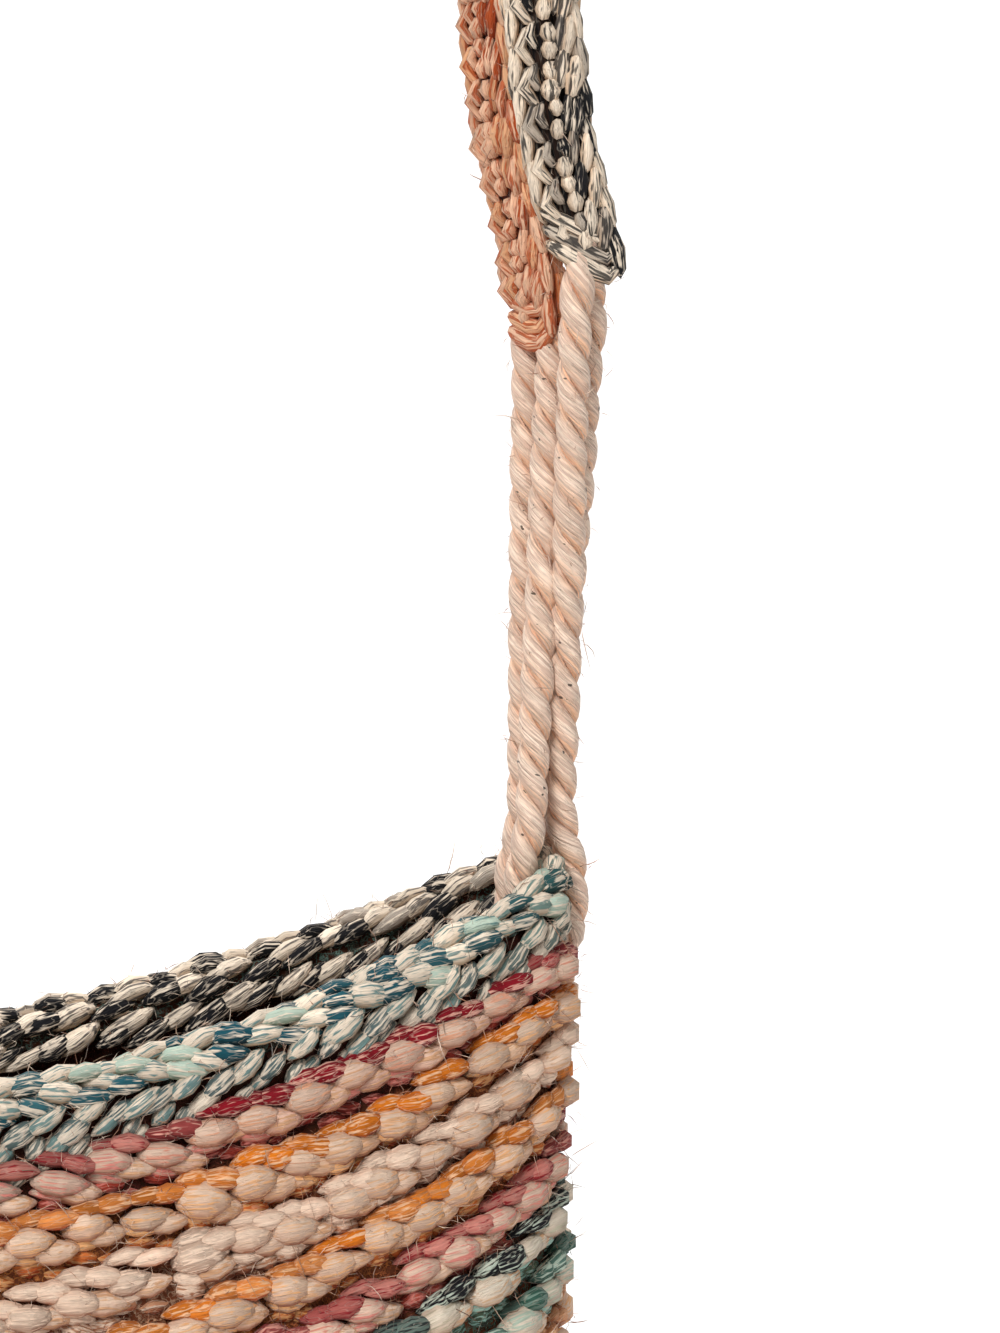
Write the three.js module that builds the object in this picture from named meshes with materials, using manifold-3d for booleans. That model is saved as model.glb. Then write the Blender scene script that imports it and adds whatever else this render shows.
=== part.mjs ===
// Crochet shoulder bag: a soft pouch worked in rounds, two twisted cords at each raised corner of the
// mouth, and a strap of two narrow crochet bands. Millimetres, +Z up, the front is -Y. The origin is the
// point under the middle of the strap where the bag hangs.
import * as THREE from "three";
import { mergeVertices } from "three/addons/utils/BufferGeometryUtils.js";
import Module from "manifold-3d";

// Bag body, heights measured from the underside of the base. The corners stand CORNER_LIFT above the
// middle of the mouth.
const BAG_WIDTH = 282;
const BAG_DEPTH = 92;
const MOUTH_HEIGHT = 189;
const CORNER_LIFT = 31;
const ROW_COUNT = 22;
const WALL_THICKNESS = 7;
const WALL_THICKNESS_AT_EYELET = 3.4;
const PINCH_HALF_DEPTH = 13;
const ROW_RIDGE = 1.1;
const BASE_THICKNESS = 8;
const PIECE_GAP = 0.3;
const RIM_HALF_HEIGHT = 5;
const RIM_DROOP_POWER = 2.1;

// The wall from the base (share 0) to the mouth (share 1): each row is one level of the wall, an oval
// that is lifted at its two ends. width, depth, height and lift are shares of the bag's width and depth,
// the mouth's height and the corners' lift.
const WALL_LEVELS = [
  { share: 0, width: 0.61, depth: 0.587, height: 0.008, lift: 0, squareness: 2.2 },
  { share: 0.12, width: 0.79, depth: 0.826, height: 0.046, lift: 0.39, squareness: 2.2 },
  { share: 0.3, width: 0.93, depth: 1, height: 0.214, lift: 0.9, squareness: 2.3 },
  { share: 0.55, width: 0.987, depth: 0.935, height: 0.469, lift: 1.23, squareness: 2.5 },
  { share: 0.8, width: 0.993, depth: 0.696, height: 0.755, lift: 1.32, squareness: 2.8 },
  { share: 1, width: 1, depth: 0.511, height: 1, lift: 1, squareness: 3 },
];
const CORNER_HEIGHT = MOUTH_HEIGHT + CORNER_LIFT;

// Cords and the eyelet that each pair runs through.
const CORD_DIAMETER = 5.6;
const CORD_SPACING = 6.3;
const EYELET_BELOW_MOUTH = 5.4;
const EYELET_CLEARANCE = 0.5;
const EYELET_CUT_REACH = 20;
const CORD_BEND_RADIUS = 3.2;
const CORD_OFF_OUTER_FACE = 0.9;
const CORD_OFF_INNER_FACE = 1.4;
const CORDS_STRAIGHT_ABOVE_MOUTH = 7;
const CORDS_MEET_ABOVE_MOUTH = 17;
const CORD_GAP_UNDER_RUST = 1.5;
const CORD_GAP_UNDER_DARK = 1.1;

// Where the outer strands end under the dark band, from the band's middle, and how far apart they are.
const OUTER_TOP = { inward: 0.6, forward: 2.4, stepOut: 2, stepBack: 2.4 };

// Strap bands. The dark band starts higher than the rust one, at a larger share of the strap's half.
const BAND_WIDTH = 12;
const BAND_THICKNESS = 6;
const BAND_STANCE = (BAND_WIDTH + PIECE_GAP) / 2;
const DARK_END_ABOVE_CORNER = 109;
const STRAP_HALF_SPAN = BAG_WIDTH / 2;
const STRAP_RISE = 320;
const DARK_START = 0.04;
const RUST_START = 0.01;
const HANG_HEIGHT = CORNER_HEIGHT + DARK_END_ABOVE_CORNER + STRAP_RISE - BAND_THICKNESS / 2;

// The strap's middle line from its right end to its top: out is a share of the half span, up a share of
// the rise above the dark band's end.
const STRAP_LINE = [
  { out: 1.003, up: -0.0625 },
  { out: 0.994, up: 0 },
  { out: 0.957, up: 0.074 },
  { out: 0.936, up: 0.156 },
  { out: 0.908, up: 0.312 },
  { out: 0.858, up: 0.531 },
  { out: 0.759, up: 0.734 },
  { out: 0.567, up: 0.888 },
  { out: 0.298, up: 0.972 },
  { out: 0, up: 1 },
];

// How each band lies beside the strap's middle line, from its end (share 0) to the top (share 1): out and
// back are the band's middle measured across the strap in band stances, turn is its turn about the line
// in degrees. At one stance back and front the two bands lie edge to edge.
const DARK_BAND = [
  { share: 0, out: 0.748, back: -0.52, turn: 84 },
  { share: 0.14, out: 0.715, back: -0.569, turn: 80 },
  { share: 0.4, out: 0.423, back: -0.943, turn: 42 },
  { share: 0.75, out: 0, back: -1, turn: 0 },
  { share: 1, out: 0, back: -1, turn: 0 },
];
const RUST_BAND = [
  { share: 0, out: -0.358, back: 1.057, turn: 25 },
  { share: 0.14, out: -0.358, back: 1.089, turn: 24 },
  { share: 0.4, out: -0.228, back: 1.203, turn: 12 },
  { share: 0.75, out: 0, back: 1, turn: 0 },
  { share: 1, out: 0, back: 1, turn: 0 },
];

const SEGMENTS_AROUND = 44;
const INNER_LEVELS = 12;
const BAND_STEPS = 24;

// Value of one column of a table at a share, by a smooth curve that keeps the table's rises and falls.
function tableValue(table, column, share) {
  const count = table.length;
  const slopes = [];
  for (let i = 0; i + 1 < count; i++) {
    slopes.push((table[i + 1][column] - table[i][column]) / (table[i + 1].share - table[i].share));
  }
  const tangent = (i) => {
    if (i === 0) return slopes[0];
    if (i === count - 1) return slopes[count - 2];
    const product = slopes[i - 1] * slopes[i];
    return product > 0 ? (2 * product) / (slopes[i - 1] + slopes[i]) : 0;
  };
  let i = 0;
  while (i < count - 2 && share > table[i + 1].share) i++;
  const step = table[i + 1].share - table[i].share;
  const t = (share - table[i].share) / step;
  const rise = t * t * (3 - 2 * t);
  return (
    table[i][column] * (1 - rise) +
    table[i + 1][column] * rise +
    step * (tangent(i) * t * (1 - t) ** 2 - tangent(i + 1) * t * t * (1 - t))
  );
}

const smoothStep = (value, low, high) => THREE.MathUtils.smoothstep(value, low, high);

// Point of the wall's outer face, without the row ridges, at a share of its height and an angle around.
function wallPoint(share, angle) {
  const level = (column) => tableValue(WALL_LEVELS, column, share);
  const reach = (value) => Math.sign(value) * Math.abs(value) ** (2 / level("squareness"));
  const x = reach(Math.cos(angle));
  const y = reach(Math.sin(angle));
  const height = MOUTH_HEIGHT * level("height") + CORNER_LIFT * level("lift") * Math.abs(x) ** RIM_DROOP_POWER;
  return new THREE.Vector3((BAG_WIDTH / 2) * level("width") * x, (BAG_DEPTH / 2) * level("depth") * y, height);
}

// Direction out of the wall, turned to straight down beside the base.
function wallNormal(share, angle) {
  const step = 0.01;
  const around = wallPoint(share, angle + step).sub(wallPoint(share, angle - step));
  const low = Math.max(share - step, 0);
  const high = Math.min(share + step, 1);
  const upward = wallPoint(high, angle).sub(wallPoint(low, angle));
  const normal = around.cross(upward).normalize();
  const straightDown = 1 - smoothStep(share, 0, 0.1);
  return normal.lerp(new THREE.Vector3(0, 0, -1), straightDown).normalize();
}

// Wall thickness: thin only where the cords pinch the two corners under the mouth.
function wallThickness(share, point) {
  const isEnd = Math.abs(point.x) > 0.35 * BAG_WIDTH;
  const nearCorner = isEnd ? Math.exp(-((point.y / PINCH_HALF_DEPTH) ** 4)) : 0;
  const pinch = nearCorner * smoothStep(share, 0.82, 0.93);
  return WALL_THICKNESS + (WALL_THICKNESS_AT_EYELET - WALL_THICKNESS) * pinch;
}

// Angles that stand at even distances around the level at share 0.8, the same for every level.
function evenAngles(count) {
  const samples = 1440;
  const lengths = [0];
  for (let i = 1; i <= samples; i++) {
    const before = wallPoint(0.8, ((i - 1) * 2 * Math.PI) / samples);
    const here = wallPoint(0.8, (i * 2 * Math.PI) / samples);
    const atEnd = smoothStep(Math.abs(here.x), 0.34 * BAG_WIDTH, 0.48 * BAG_WIDTH);
    lengths.push(lengths[i - 1] + before.distanceTo(here) * (1 + 1.6 * atEnd));
  }
  const angles = [];
  let i = 0;
  for (let k = 0; k < count; k++) {
    const wanted = (lengths[samples] * k) / count;
    while (lengths[i + 1] <= wanted) i++;
    const part = (wanted - lengths[i]) / (lengths[i + 1] - lengths[i]);
    angles.push(((i + part) * 2 * Math.PI) / samples);
  }
  return angles;
}

// Closed solid through a list of rings with equal point counts. The last ring joins the first when the
// row of rings is a loop, and otherwise a fan of triangles closes each end.
function solidFromRings(rings, isLoop) {
  const size = rings[0].length;
  const positions = rings.flat().flatMap((point) => [point.x, point.y, point.z]);
  const indices = [];
  const bands = isLoop ? rings.length : rings.length - 1;
  for (let r = 0; r < bands; r++) {
    const next = (r + 1) % rings.length;
    for (let k = 0; k < size; k++) {
      const l = (k + 1) % size;
      indices.push(r * size + k, r * size + l, next * size + l);
      indices.push(r * size + k, next * size + l, next * size + k);
    }
  }
  if (!isLoop) {
    for (const [ring, flip] of [[rings[0], true], [rings[rings.length - 1], false]]) {
      const middle = ring.reduce((sum, point) => sum.add(point), new THREE.Vector3());
      middle.divideScalar(size);
      const first = flip ? 0 : (rings.length - 1) * size;
      const centre = positions.length / 3;
      positions.push(middle.x, middle.y, middle.z);
      for (let k = 0; k < size; k++) {
        const pair = [first + k, first + ((k + 1) % size)];
        indices.push(centre, ...(flip ? pair.reverse() : pair));
      }
    }
  }
  const geometry = new THREE.BufferGeometry();
  geometry.setAttribute("position", new THREE.Float32BufferAttribute(positions, 3));
  geometry.setIndex(indices);
  return facingOut(geometry);
}

// Turns every triangle over when the solid's volume comes out negative.
function facingOut(geometry) {
  const position = geometry.attributes.position;
  const index = geometry.index.array;
  const corner = (i) => new THREE.Vector3().fromBufferAttribute(position, index[i]);
  let volume = 0;
  for (let i = 0; i < index.length; i += 3) {
    volume += corner(i).dot(corner(i + 1).cross(corner(i + 2)));
  }
  if (volume < 0) {
    for (let i = 0; i < index.length; i += 3) {
      [index[i + 1], index[i + 2]] = [index[i + 2], index[i + 1]];
    }
  }
  return geometry;
}

// An oval plate that fills the wall's lowest level but for a small gap.
function baseGeometry(angles) {
  const lowest = WALL_LEVELS[0];
  const halfWidth = (BAG_WIDTH / 2) * lowest.width;
  const halfDepth = (BAG_DEPTH / 2) * lowest.depth;
  const outline = angles.map((angle) => {
    const edge = wallPoint(0, angle);
    const outward = new THREE.Vector3(edge.x / halfWidth ** 2, edge.y / halfDepth ** 2, 0);
    return edge.sub(outward.setLength(PIECE_GAP));
  });
  const atHeight = (height) => outline.map((point) => new THREE.Vector3(point.x, point.y, height));
  return solidFromRings([atHeight(0), atHeight(BASE_THICKNESS)], false);
}

// Each ring goes up the outer face over every row ridge and down the smooth inner face.
function wallGeometry(angles) {
  const rings = angles.map((angle) => {
    const ring = [];
    for (let i = 0; i <= 2 * ROW_COUNT; i++) {
      const share = i / (2 * ROW_COUNT);
      const ridge = i % 2 === 1 ? ROW_RIDGE : 0;
      ring.push(wallPoint(share, angle).addScaledVector(wallNormal(share, angle), ridge));
    }
    for (let i = INNER_LEVELS; i >= 0; i--) {
      const share = i / INNER_LEVELS;
      const outer = wallPoint(share, angle);
      ring.push(outer.addScaledVector(wallNormal(share, angle), -wallThickness(share, outer)));
    }
    return ring;
  });
  return solidFromRings(rings, true);
}

// The eyelet's cutter: a bar with round ends that runs out through the wall.
function eyeletGeometry(side) {
  const radius = CORD_DIAMETER / 2 + EYELET_CLEARANCE;
  const height = CORNER_HEIGHT - EYELET_BELOW_MOUTH;
  const outlineAt = (distance) => {
    const ring = [];
    for (let k = 0; k < 16; k++) {
      const angle = ((k + 0.5) * 2 * Math.PI) / 16;
      const shift = Math.sign(Math.cos(angle)) * (CORD_SPACING / 2);
      const y = radius * Math.cos(angle) + shift;
      ring.push(new THREE.Vector3(side * distance, y, height + radius * Math.sin(angle)));
    }
    return ring;
  };
  const middle = BAG_WIDTH / 2;
  return solidFromRings([outlineAt(middle - EYELET_CUT_REACH), outlineAt(middle + EYELET_CUT_REACH)], false);
}

// An oval roll along the top edge of the wall, as wide as the wall is thick.
function rimGeometry(angles) {
  const rings = angles.map((angle) => {
    const outer = wallPoint(1, angle);
    const inward = wallNormal(1, angle).setZ(0).normalize().negate();
    const halfWidth = wallThickness(1, outer) / 2;
    const middle = outer.clone().addScaledVector(inward, halfWidth);
    middle.z += RIM_HALF_HEIGHT + 1.5 * PIECE_GAP;
    const ring = [];
    for (let k = 0; k < 8; k++) {
      const turn = (k * Math.PI) / 4;
      const point = middle.clone().addScaledVector(inward, halfWidth * Math.cos(turn));
      point.z += RIM_HALF_HEIGHT * Math.sin(turn);
      ring.push(point);
    }
    return ring;
  });
  return solidFromRings(rings, true);
}

// Where a band's middle, width and thickness lie at a share of the way from the strap's end to its top.
function strapPlace(table, share) {
  const half = (side) => STRAP_LINE.map(({ out, up }) => (
    new THREE.Vector3(side * out * STRAP_HALF_SPAN, 0, up * STRAP_RISE)
  ));
  const points = [...half(1), ...half(-1).slice(0, -1).reverse()];
  const line = new THREE.CatmullRomCurve3(points, false, "centripetal");
  const tangent = line.getTangentAt(share / 2);
  const outward = new THREE.Vector3(tangent.z, 0, -tangent.x);
  const backward = new THREE.Vector3(0, 1, 0);
  const turn = THREE.MathUtils.degToRad(tableValue(table, "turn", share));
  const middle = line.getPointAt(share / 2);
  middle.z += CORNER_HEIGHT + DARK_END_ABOVE_CORNER;
  middle.addScaledVector(outward, BAND_STANCE * tableValue(table, "out", share));
  middle.addScaledVector(backward, BAND_STANCE * tableValue(table, "back", share));
  const across = backward.clone().multiplyScalar(Math.cos(turn));
  across.addScaledVector(outward, -Math.sin(turn));
  return { middle, across, thick: across.clone().cross(tangent).normalize() };
}

// A band with rounded edges from its right end over the top to its left end.
function bandGeometry(table, startShare) {
  const half = [];
  for (let i = 0; i <= BAND_STEPS; i++) {
    const share = startShare + (1 - startShare) * (i / BAND_STEPS);
    const { middle, across, thick } = strapPlace(table, share);
    const ring = [];
    for (let k = 0; k < 12; k++) {
      const angle = ((k + 0.5) * Math.PI) / 6;
      const wide = Math.sign(Math.cos(angle)) * Math.abs(Math.cos(angle)) ** 0.6;
      const deep = Math.sign(Math.sin(angle)) * Math.abs(Math.sin(angle)) ** 0.6;
      const point = middle.clone().addScaledVector(across, (wide * BAND_WIDTH) / 2);
      ring.push(point.addScaledVector(thick, (deep * BAND_THICKNESS) / 2));
    }
    half.push(ring);
  }
  const otherHalf = half.slice(0, -1).reverse();
  const mirrored = otherHalf.map((ring) => ring.map(({ x, y, z }) => new THREE.Vector3(-x, y, z)));
  return solidFromRings([...half, ...mirrored], false);
}

// Middle line of one cord: down from the rust band inside the mouth, out through the eyelet and up to the
// dark band. rank is -1 for the front cord of a pair and 1 for the back one.
function cordLine(side, rank) {
  const rust = strapPlace(RUST_BAND, RUST_START);
  const dark = strapPlace(DARK_BAND, DARK_START);
  const half = CORD_SPACING / 2;
  const y = rank * half;
  const innerTop = rust.middle.clone().addScaledVector(rust.across, y);
  const outerTop = dark.middle.clone().setY(rank * OUTER_TOP.stepBack - OUTER_TOP.forward);
  outerTop.x += rank * OUTER_TOP.stepOut - OUTER_TOP.inward;
  innerTop.z -= CORD_GAP_UNDER_RUST;
  outerTop.z -= CORD_GAP_UNDER_DARK;
  const eyeletHeight = CORNER_HEIGHT - EYELET_BELOW_MOUTH;
  const wallOut = BAG_WIDTH / 2 + CORD_OFF_OUTER_FACE;
  const wallIn = BAG_WIDTH / 2 - WALL_THICKNESS_AT_EYELET - CORD_OFF_INNER_FACE;
  const innerX = wallIn - CORD_DIAMETER / 2;
  const outerX = wallOut + CORD_DIAMETER / 2;
  const meetX = (innerX + outerX) / 2;
  const meetHeight = CORNER_HEIGHT + CORDS_MEET_ABOVE_MOUTH;
  const points = [];
  points.push(innerTop);
  points.push(new THREE.Vector3(meetX - half, y, meetHeight));
  points.push(new THREE.Vector3(innerX, y, CORNER_HEIGHT + CORDS_STRAIGHT_ABOVE_MOUTH));
  const bend = (x, out, from, to) => {
    for (let i = 0; i <= 3; i++) {
      const angle = THREE.MathUtils.degToRad(from + ((to - from) * i) / 3);
      const reach = out * CORD_BEND_RADIUS * Math.cos(angle);
      const height = eyeletHeight + CORD_BEND_RADIUS - CORD_BEND_RADIUS * Math.sin(angle);
      points.push(new THREE.Vector3(x + reach, y, height));
    }
  };
  bend(innerX + CORD_BEND_RADIUS, -1, 0, 90);
  bend(outerX - CORD_BEND_RADIUS, 1, 90, 0);
  points.push(new THREE.Vector3(outerX, y, CORNER_HEIGHT + CORDS_STRAIGHT_ABOVE_MOUTH));
  points.push(new THREE.Vector3(meetX + half, y, meetHeight));
  points.push(outerTop);
  return points.map((point) => point.setX(point.x * side));
}

// A round cord along its middle line, with rings only where the line bends.
function cordGeometry(side, rank) {
  const line = cordLine(side, rank);
  const rings = line.map((point, i) => {
    const before = line[Math.max(i - 1, 0)];
    const after = line[Math.min(i + 1, line.length - 1)];
    const along = after.clone().sub(before).normalize();
    const sideways = new THREE.Vector3(0, 1, 0).addScaledVector(along, -along.y).normalize();
    const other = along.clone().cross(sideways);
    const ring = [];
    for (let k = 0; k < 10; k++) {
      const angle = (k * Math.PI) / 5;
      const spoke = sideways.clone().multiplyScalar(Math.cos(angle));
      spoke.addScaledVector(other, Math.sin(angle));
      ring.push(point.clone().addScaledVector(spoke, CORD_DIAMETER / 2));
    }
    return ring;
  });
  return solidFromRings(rings, false);
}

const wasm = await Module();
wasm.setup();

function toSolid(geometry) {
  const merged = mergeVertices(geometry, 1e-5);
  const vertProperties = Float32Array.from(merged.attributes.position.array);
  const triVerts = Uint32Array.from(merged.index.array);
  return new wasm.Manifold(new wasm.Mesh({ numProp: 3, vertProperties, triVerts }));
}

function subtract(geometry, cutters) {
  let solid = toSolid(geometry);
  for (const cutter of cutters) {
    solid = solid.subtract(toSolid(cutter));
  }
  const mesh = solid.getMesh();
  const result = new THREE.BufferGeometry();
  result.setAttribute("position", new THREE.Float32BufferAttribute(mesh.vertProperties, 3));
  result.setIndex(Array.from(mesh.triVerts));
  return result;
}

function yarn(color, roughness = 0.95) {
  return new THREE.MeshStandardMaterial({ color, roughness, metalness: 0, flatShading: true });
}

const bag = new THREE.Group();
bag.position.z = -HANG_HEIGHT;

function addPiece(name, geometry, material) {
  const mesh = new THREE.Mesh(geometry, material);
  mesh.name = name;
  bag.add(mesh);
}

const ANGLES = evenAngles(SEGMENTS_AROUND);

addPiece("base_panel", baseGeometry(ANGLES), yarn(0x3f5b52));
addPiece("bag_wall", subtract(wallGeometry(ANGLES), [eyeletGeometry(1), eyeletGeometry(-1)]), yarn(0xb59a7c));
addPiece("rim_edging", rimGeometry(ANGLES), yarn(0x6fa39c));
for (const [sideName, side] of [["right", 1], ["left", -1]]) {
  for (const [rankName, rank] of [["front", -1], ["back", 1]]) {
    addPiece(`cord_${sideName}_${rankName}`, cordGeometry(side, rank), yarn(0xe1c8af));
  }
}
addPiece("strap_dark_band", bandGeometry(DARK_BAND, DARK_START), yarn(0x6b665f));
addPiece("strap_rust_band", bandGeometry(RUST_BAND, RUST_START), yarn(0xc08a5e));

export default bag;
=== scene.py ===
import math

import bpy
import numpy as np
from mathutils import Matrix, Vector


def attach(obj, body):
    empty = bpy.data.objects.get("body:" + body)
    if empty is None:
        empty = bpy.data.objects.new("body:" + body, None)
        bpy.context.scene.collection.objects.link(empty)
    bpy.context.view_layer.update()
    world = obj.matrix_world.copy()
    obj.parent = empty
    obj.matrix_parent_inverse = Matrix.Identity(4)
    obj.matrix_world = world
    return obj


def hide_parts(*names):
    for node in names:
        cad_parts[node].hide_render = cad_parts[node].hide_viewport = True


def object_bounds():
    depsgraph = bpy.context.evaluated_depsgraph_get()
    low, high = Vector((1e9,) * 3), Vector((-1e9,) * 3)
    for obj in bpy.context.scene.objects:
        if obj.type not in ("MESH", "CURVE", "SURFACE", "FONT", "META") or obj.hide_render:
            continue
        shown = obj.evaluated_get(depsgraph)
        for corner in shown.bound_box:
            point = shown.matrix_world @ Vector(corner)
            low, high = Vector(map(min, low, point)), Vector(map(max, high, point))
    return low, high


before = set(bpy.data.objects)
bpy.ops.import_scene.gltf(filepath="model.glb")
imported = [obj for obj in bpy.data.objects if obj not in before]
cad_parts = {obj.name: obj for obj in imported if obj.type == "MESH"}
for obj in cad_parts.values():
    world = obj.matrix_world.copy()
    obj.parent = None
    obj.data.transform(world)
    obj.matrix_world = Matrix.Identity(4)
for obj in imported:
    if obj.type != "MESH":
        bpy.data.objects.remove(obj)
cad_low, cad_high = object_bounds()
chance = np.random.default_rng(11)

MM = 0.001
FULL_TURN = 2 * math.pi


def table(columns, rows):
    """A table with named columns, from one tuple for each row."""
    return dict(zip(columns.split(), np.array(rows, float).T))


# Sizes of the bag in millimetres, heights from the underside of the base
BAG_WIDTH = 282
BAG_DEPTH = 92
MOUTH_HEIGHT = 189
CORNER_LIFT = 31
ROW_COUNT = 22
WALL_THICKNESS = 7
WALL_THICKNESS_AT_EYELET = 3.4
PIECE_GAP = 0.3
RIM_HALF_HEIGHT = 5
RIM_DROOP_POWER = 2.1
EDGE_HEIGHT = RIM_HALF_HEIGHT + 1.5 * PIECE_GAP
STITCH_PITCH = 8.8

# At the two ends of the mouth, further out than CORNER_REGION, the wall is pinched and its top rows dip
CORNER_REGION = 100
PINCH_HALF_DEPTH = 13
PINCH_SHARES = (0.82, 0.93)
CORNER_DIP = 3.2
DIP_HALF_DEPTH = 9
DIP_SHARES = (0.9, 0.97)

# Each level's width, depth, height and end lift are shares of the sizes above
WALL_LEVELS = table("share width depth height lift squareness", [
    (0, 0.61, 0.587, 0.008, 0, 2.2),
    (0.12, 0.79, 0.826, 0.046, 0.39, 2.2),
    (0.3, 0.93, 1, 0.214, 0.9, 2.3),
    (0.55, 0.987, 0.935, 0.469, 1.23, 2.5),
    (0.8, 0.993, 0.696, 0.755, 1.32, 2.8),
    (1, 1, 0.511, 1, 1, 3),
])
BASE_HALF_WIDTH = BAG_WIDTH / 2 * WALL_LEVELS["width"][0]
BASE_HALF_DEPTH = BAG_DEPTH / 2 * WALL_LEVELS["depth"][0]
CORNER_HEIGHT = MOUTH_HEIGHT + CORNER_LIFT

# Cords
CORD_DIAMETER = 5.6
CORD_SPACING = 6.3
EYELET_BELOW_MOUTH = 5.4
CORD_BEND_RADIUS = 3.2
CORD_OFF_OUTER_FACE = 0.9
CORD_OFF_INNER_FACE = 1.4
CORD_GAP_UNDER_RUST = 1.5
CORD_GAP_UNDER_DARK = 1.1
CORD_PITCH = 14
CORD_STEP = 1.3
PLY_OFF_MIDDLE = 1.4
OUTER_PAIR_BACK = 5
OUTER_PAIR_IN = 0.8
CORDS_STRAIGHT_ABOVE_MOUTH = 7
CORDS_MEET_ABOVE_MOUTH = 17

# The outer strands' tops from the dark band's middle, and how far the strands go on inside the bands: in
# millimetres in the rust one, as a share of the strap's half in the dark one
OUTER_TOP = {"inward": 0.6, "forward": 2.4, "step_out": 2, "step_back": 2.4}
OUTER_END_STEP = 1.6
SUNK_IN_RUST = 9
SUNK_IN_DARK = 0.03

# Strap
BAND_WIDTH = 12
BAND_THICKNESS = 6
BAND_STANCE = (BAND_WIDTH + PIECE_GAP) / 2
DARK_END_ABOVE_CORNER = 109
STRAP_HALF_SPAN = BAG_WIDTH / 2
STRAP_RISE = 320
DARK_START = 0.04
RUST_START = 0.01
HANG_HEIGHT = CORNER_HEIGHT + DARK_END_ABOVE_CORNER + STRAP_RISE - BAND_THICKNESS / 2
STRAP_LINE = table("out up", [
    (1.003, -0.0625),
    (0.994, 0),
    (0.957, 0.074),
    (0.936, 0.156),
    (0.908, 0.312),
    (0.858, 0.531),
    (0.759, 0.734),
    (0.567, 0.888),
    (0.298, 0.972),
    (0, 1),
])
DARK_BAND = table("share out back turn", [
    (0, 0.748, -0.52, 84),
    (0.14, 0.715, -0.569, 80),
    (0.4, 0.423, -0.943, 42),
    (0.75, 0, -1, 0),
    (1, 0, -1, 0),
])
RUST_BAND = table("share out back turn", [
    (0, -0.358, 1.057, 25),
    (0.14, -0.358, 1.089, 24),
    (0.4, -0.228, 1.203, 12),
    (0.75, 0, 1, 0),
    (1, 0, 1, 0),
])


# Colours
def dye(red, green, blue):
    """Linear colour from the 0 to 255 values of a screen colour."""
    value = np.array([red, green, blue]) / 255
    return np.where(value <= 0.04045, value / 12.92, ((value + 0.055) / 1.055) ** 2.4)


CREAM = dye(244, 226, 204)
PINK_CREAM = dye(236, 207, 183)
GREY = dye(140, 130, 122)
BLACK = dye(18, 17, 22)
TEAL = dye(0, 74, 88)
PALE_TEAL = dye(146, 186, 172)
GREEN = dye(36, 76, 62)
CRIMSON = dye(132, 4, 24)
ROSE = dye(210, 124, 112)
ORANGE = dye(214, 118, 22)
APRICOT = dye(232, 170, 112)
RUST = dye(178, 96, 52)
PEACH = dye(250, 224, 203)
SHADE_BROWN = dye(116, 62, 36)
WARM_SHADE = dye(206, 156, 116)
RUST_BAND_PALE = dye(234, 190, 158)
RUST_BAND_DEEP = dye(176, 78, 32)
CORD_SPECK = dye(70, 56, 46)

# The coloured ply, the pale ply and the fuzz of each row from the mouth down
ROW_YARNS = [
    (CRIMSON, PINK_CREAM, ROSE),
    (ORANGE, PINK_CREAM, APRICOT),
    (PINK_CREAM, PINK_CREAM, PINK_CREAM),
    (ORANGE, PINK_CREAM, APRICOT),
    (CRIMSON, PINK_CREAM, ROSE),
    (BLACK, CREAM, PALE_TEAL),
    (GREEN, CREAM, PALE_TEAL),
    (RUST, PINK_CREAM, APRICOT),
    (TEAL, CREAM, PALE_TEAL),
]


# Curves and surfaces of the bag
def smooth_step(value, low, high):
    """Rises from 0 to 1 between low and high, as three squares less two cubes."""
    t = np.clip((value - low) / (high - low), 0, 1)
    return t * t * (3 - 2 * t)


def unit(vectors):
    """Vectors divided by their lengths."""
    return vectors / np.maximum(np.linalg.norm(vectors, axis=-1, keepdims=True), 1e-9)


def value_at(levels, column, share):
    """A table's column at any shares: a cubic between rows, whose slope at a row is the harmonic mean of
    the slopes beside it, or zero where the column turns back."""
    at, value = levels["share"], levels[column]
    slope = np.diff(value) / np.diff(at)
    product = slope[:-1] * slope[1:]
    total = np.where(product > 0, slope[:-1] + slope[1:], 1)
    inner = np.where(product > 0, 2 * product / total, 0)
    tangent = np.concatenate([slope[:1], inner, slope[-1:]])
    i = np.clip(np.searchsorted(at, share) - 1, 0, len(at) - 2)
    step = at[i + 1] - at[i]
    t = (share - at[i]) / step
    rise = t * t * (3 - 2 * t)
    bend = tangent[i] * t * (1 - t) ** 2 - tangent[i + 1] * t * t * (1 - t)
    return value[i] * (1 - rise) + value[i + 1] * rise + step * bend


def wall_point(share, angle):
    """Outer face of the wall: an oval of power "squareness" at each share of the height, lifted at its
    two ends by a power of the distance from the middle."""
    power = 2 / value_at(WALL_LEVELS, "squareness", share)
    x = np.sign(np.cos(angle)) * np.abs(np.cos(angle)) ** power
    y = np.sign(np.sin(angle)) * np.abs(np.sin(angle)) ** power
    height = MOUTH_HEIGHT * value_at(WALL_LEVELS, "height", share)
    lift = CORNER_LIFT * value_at(WALL_LEVELS, "lift", share)
    return np.stack([
        BAG_WIDTH / 2 * value_at(WALL_LEVELS, "width", share) * x,
        BAG_DEPTH / 2 * value_at(WALL_LEVELS, "depth", share) * y,
        height + lift * np.abs(x) ** RIM_DROOP_POWER,
    ], axis=-1)


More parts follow.
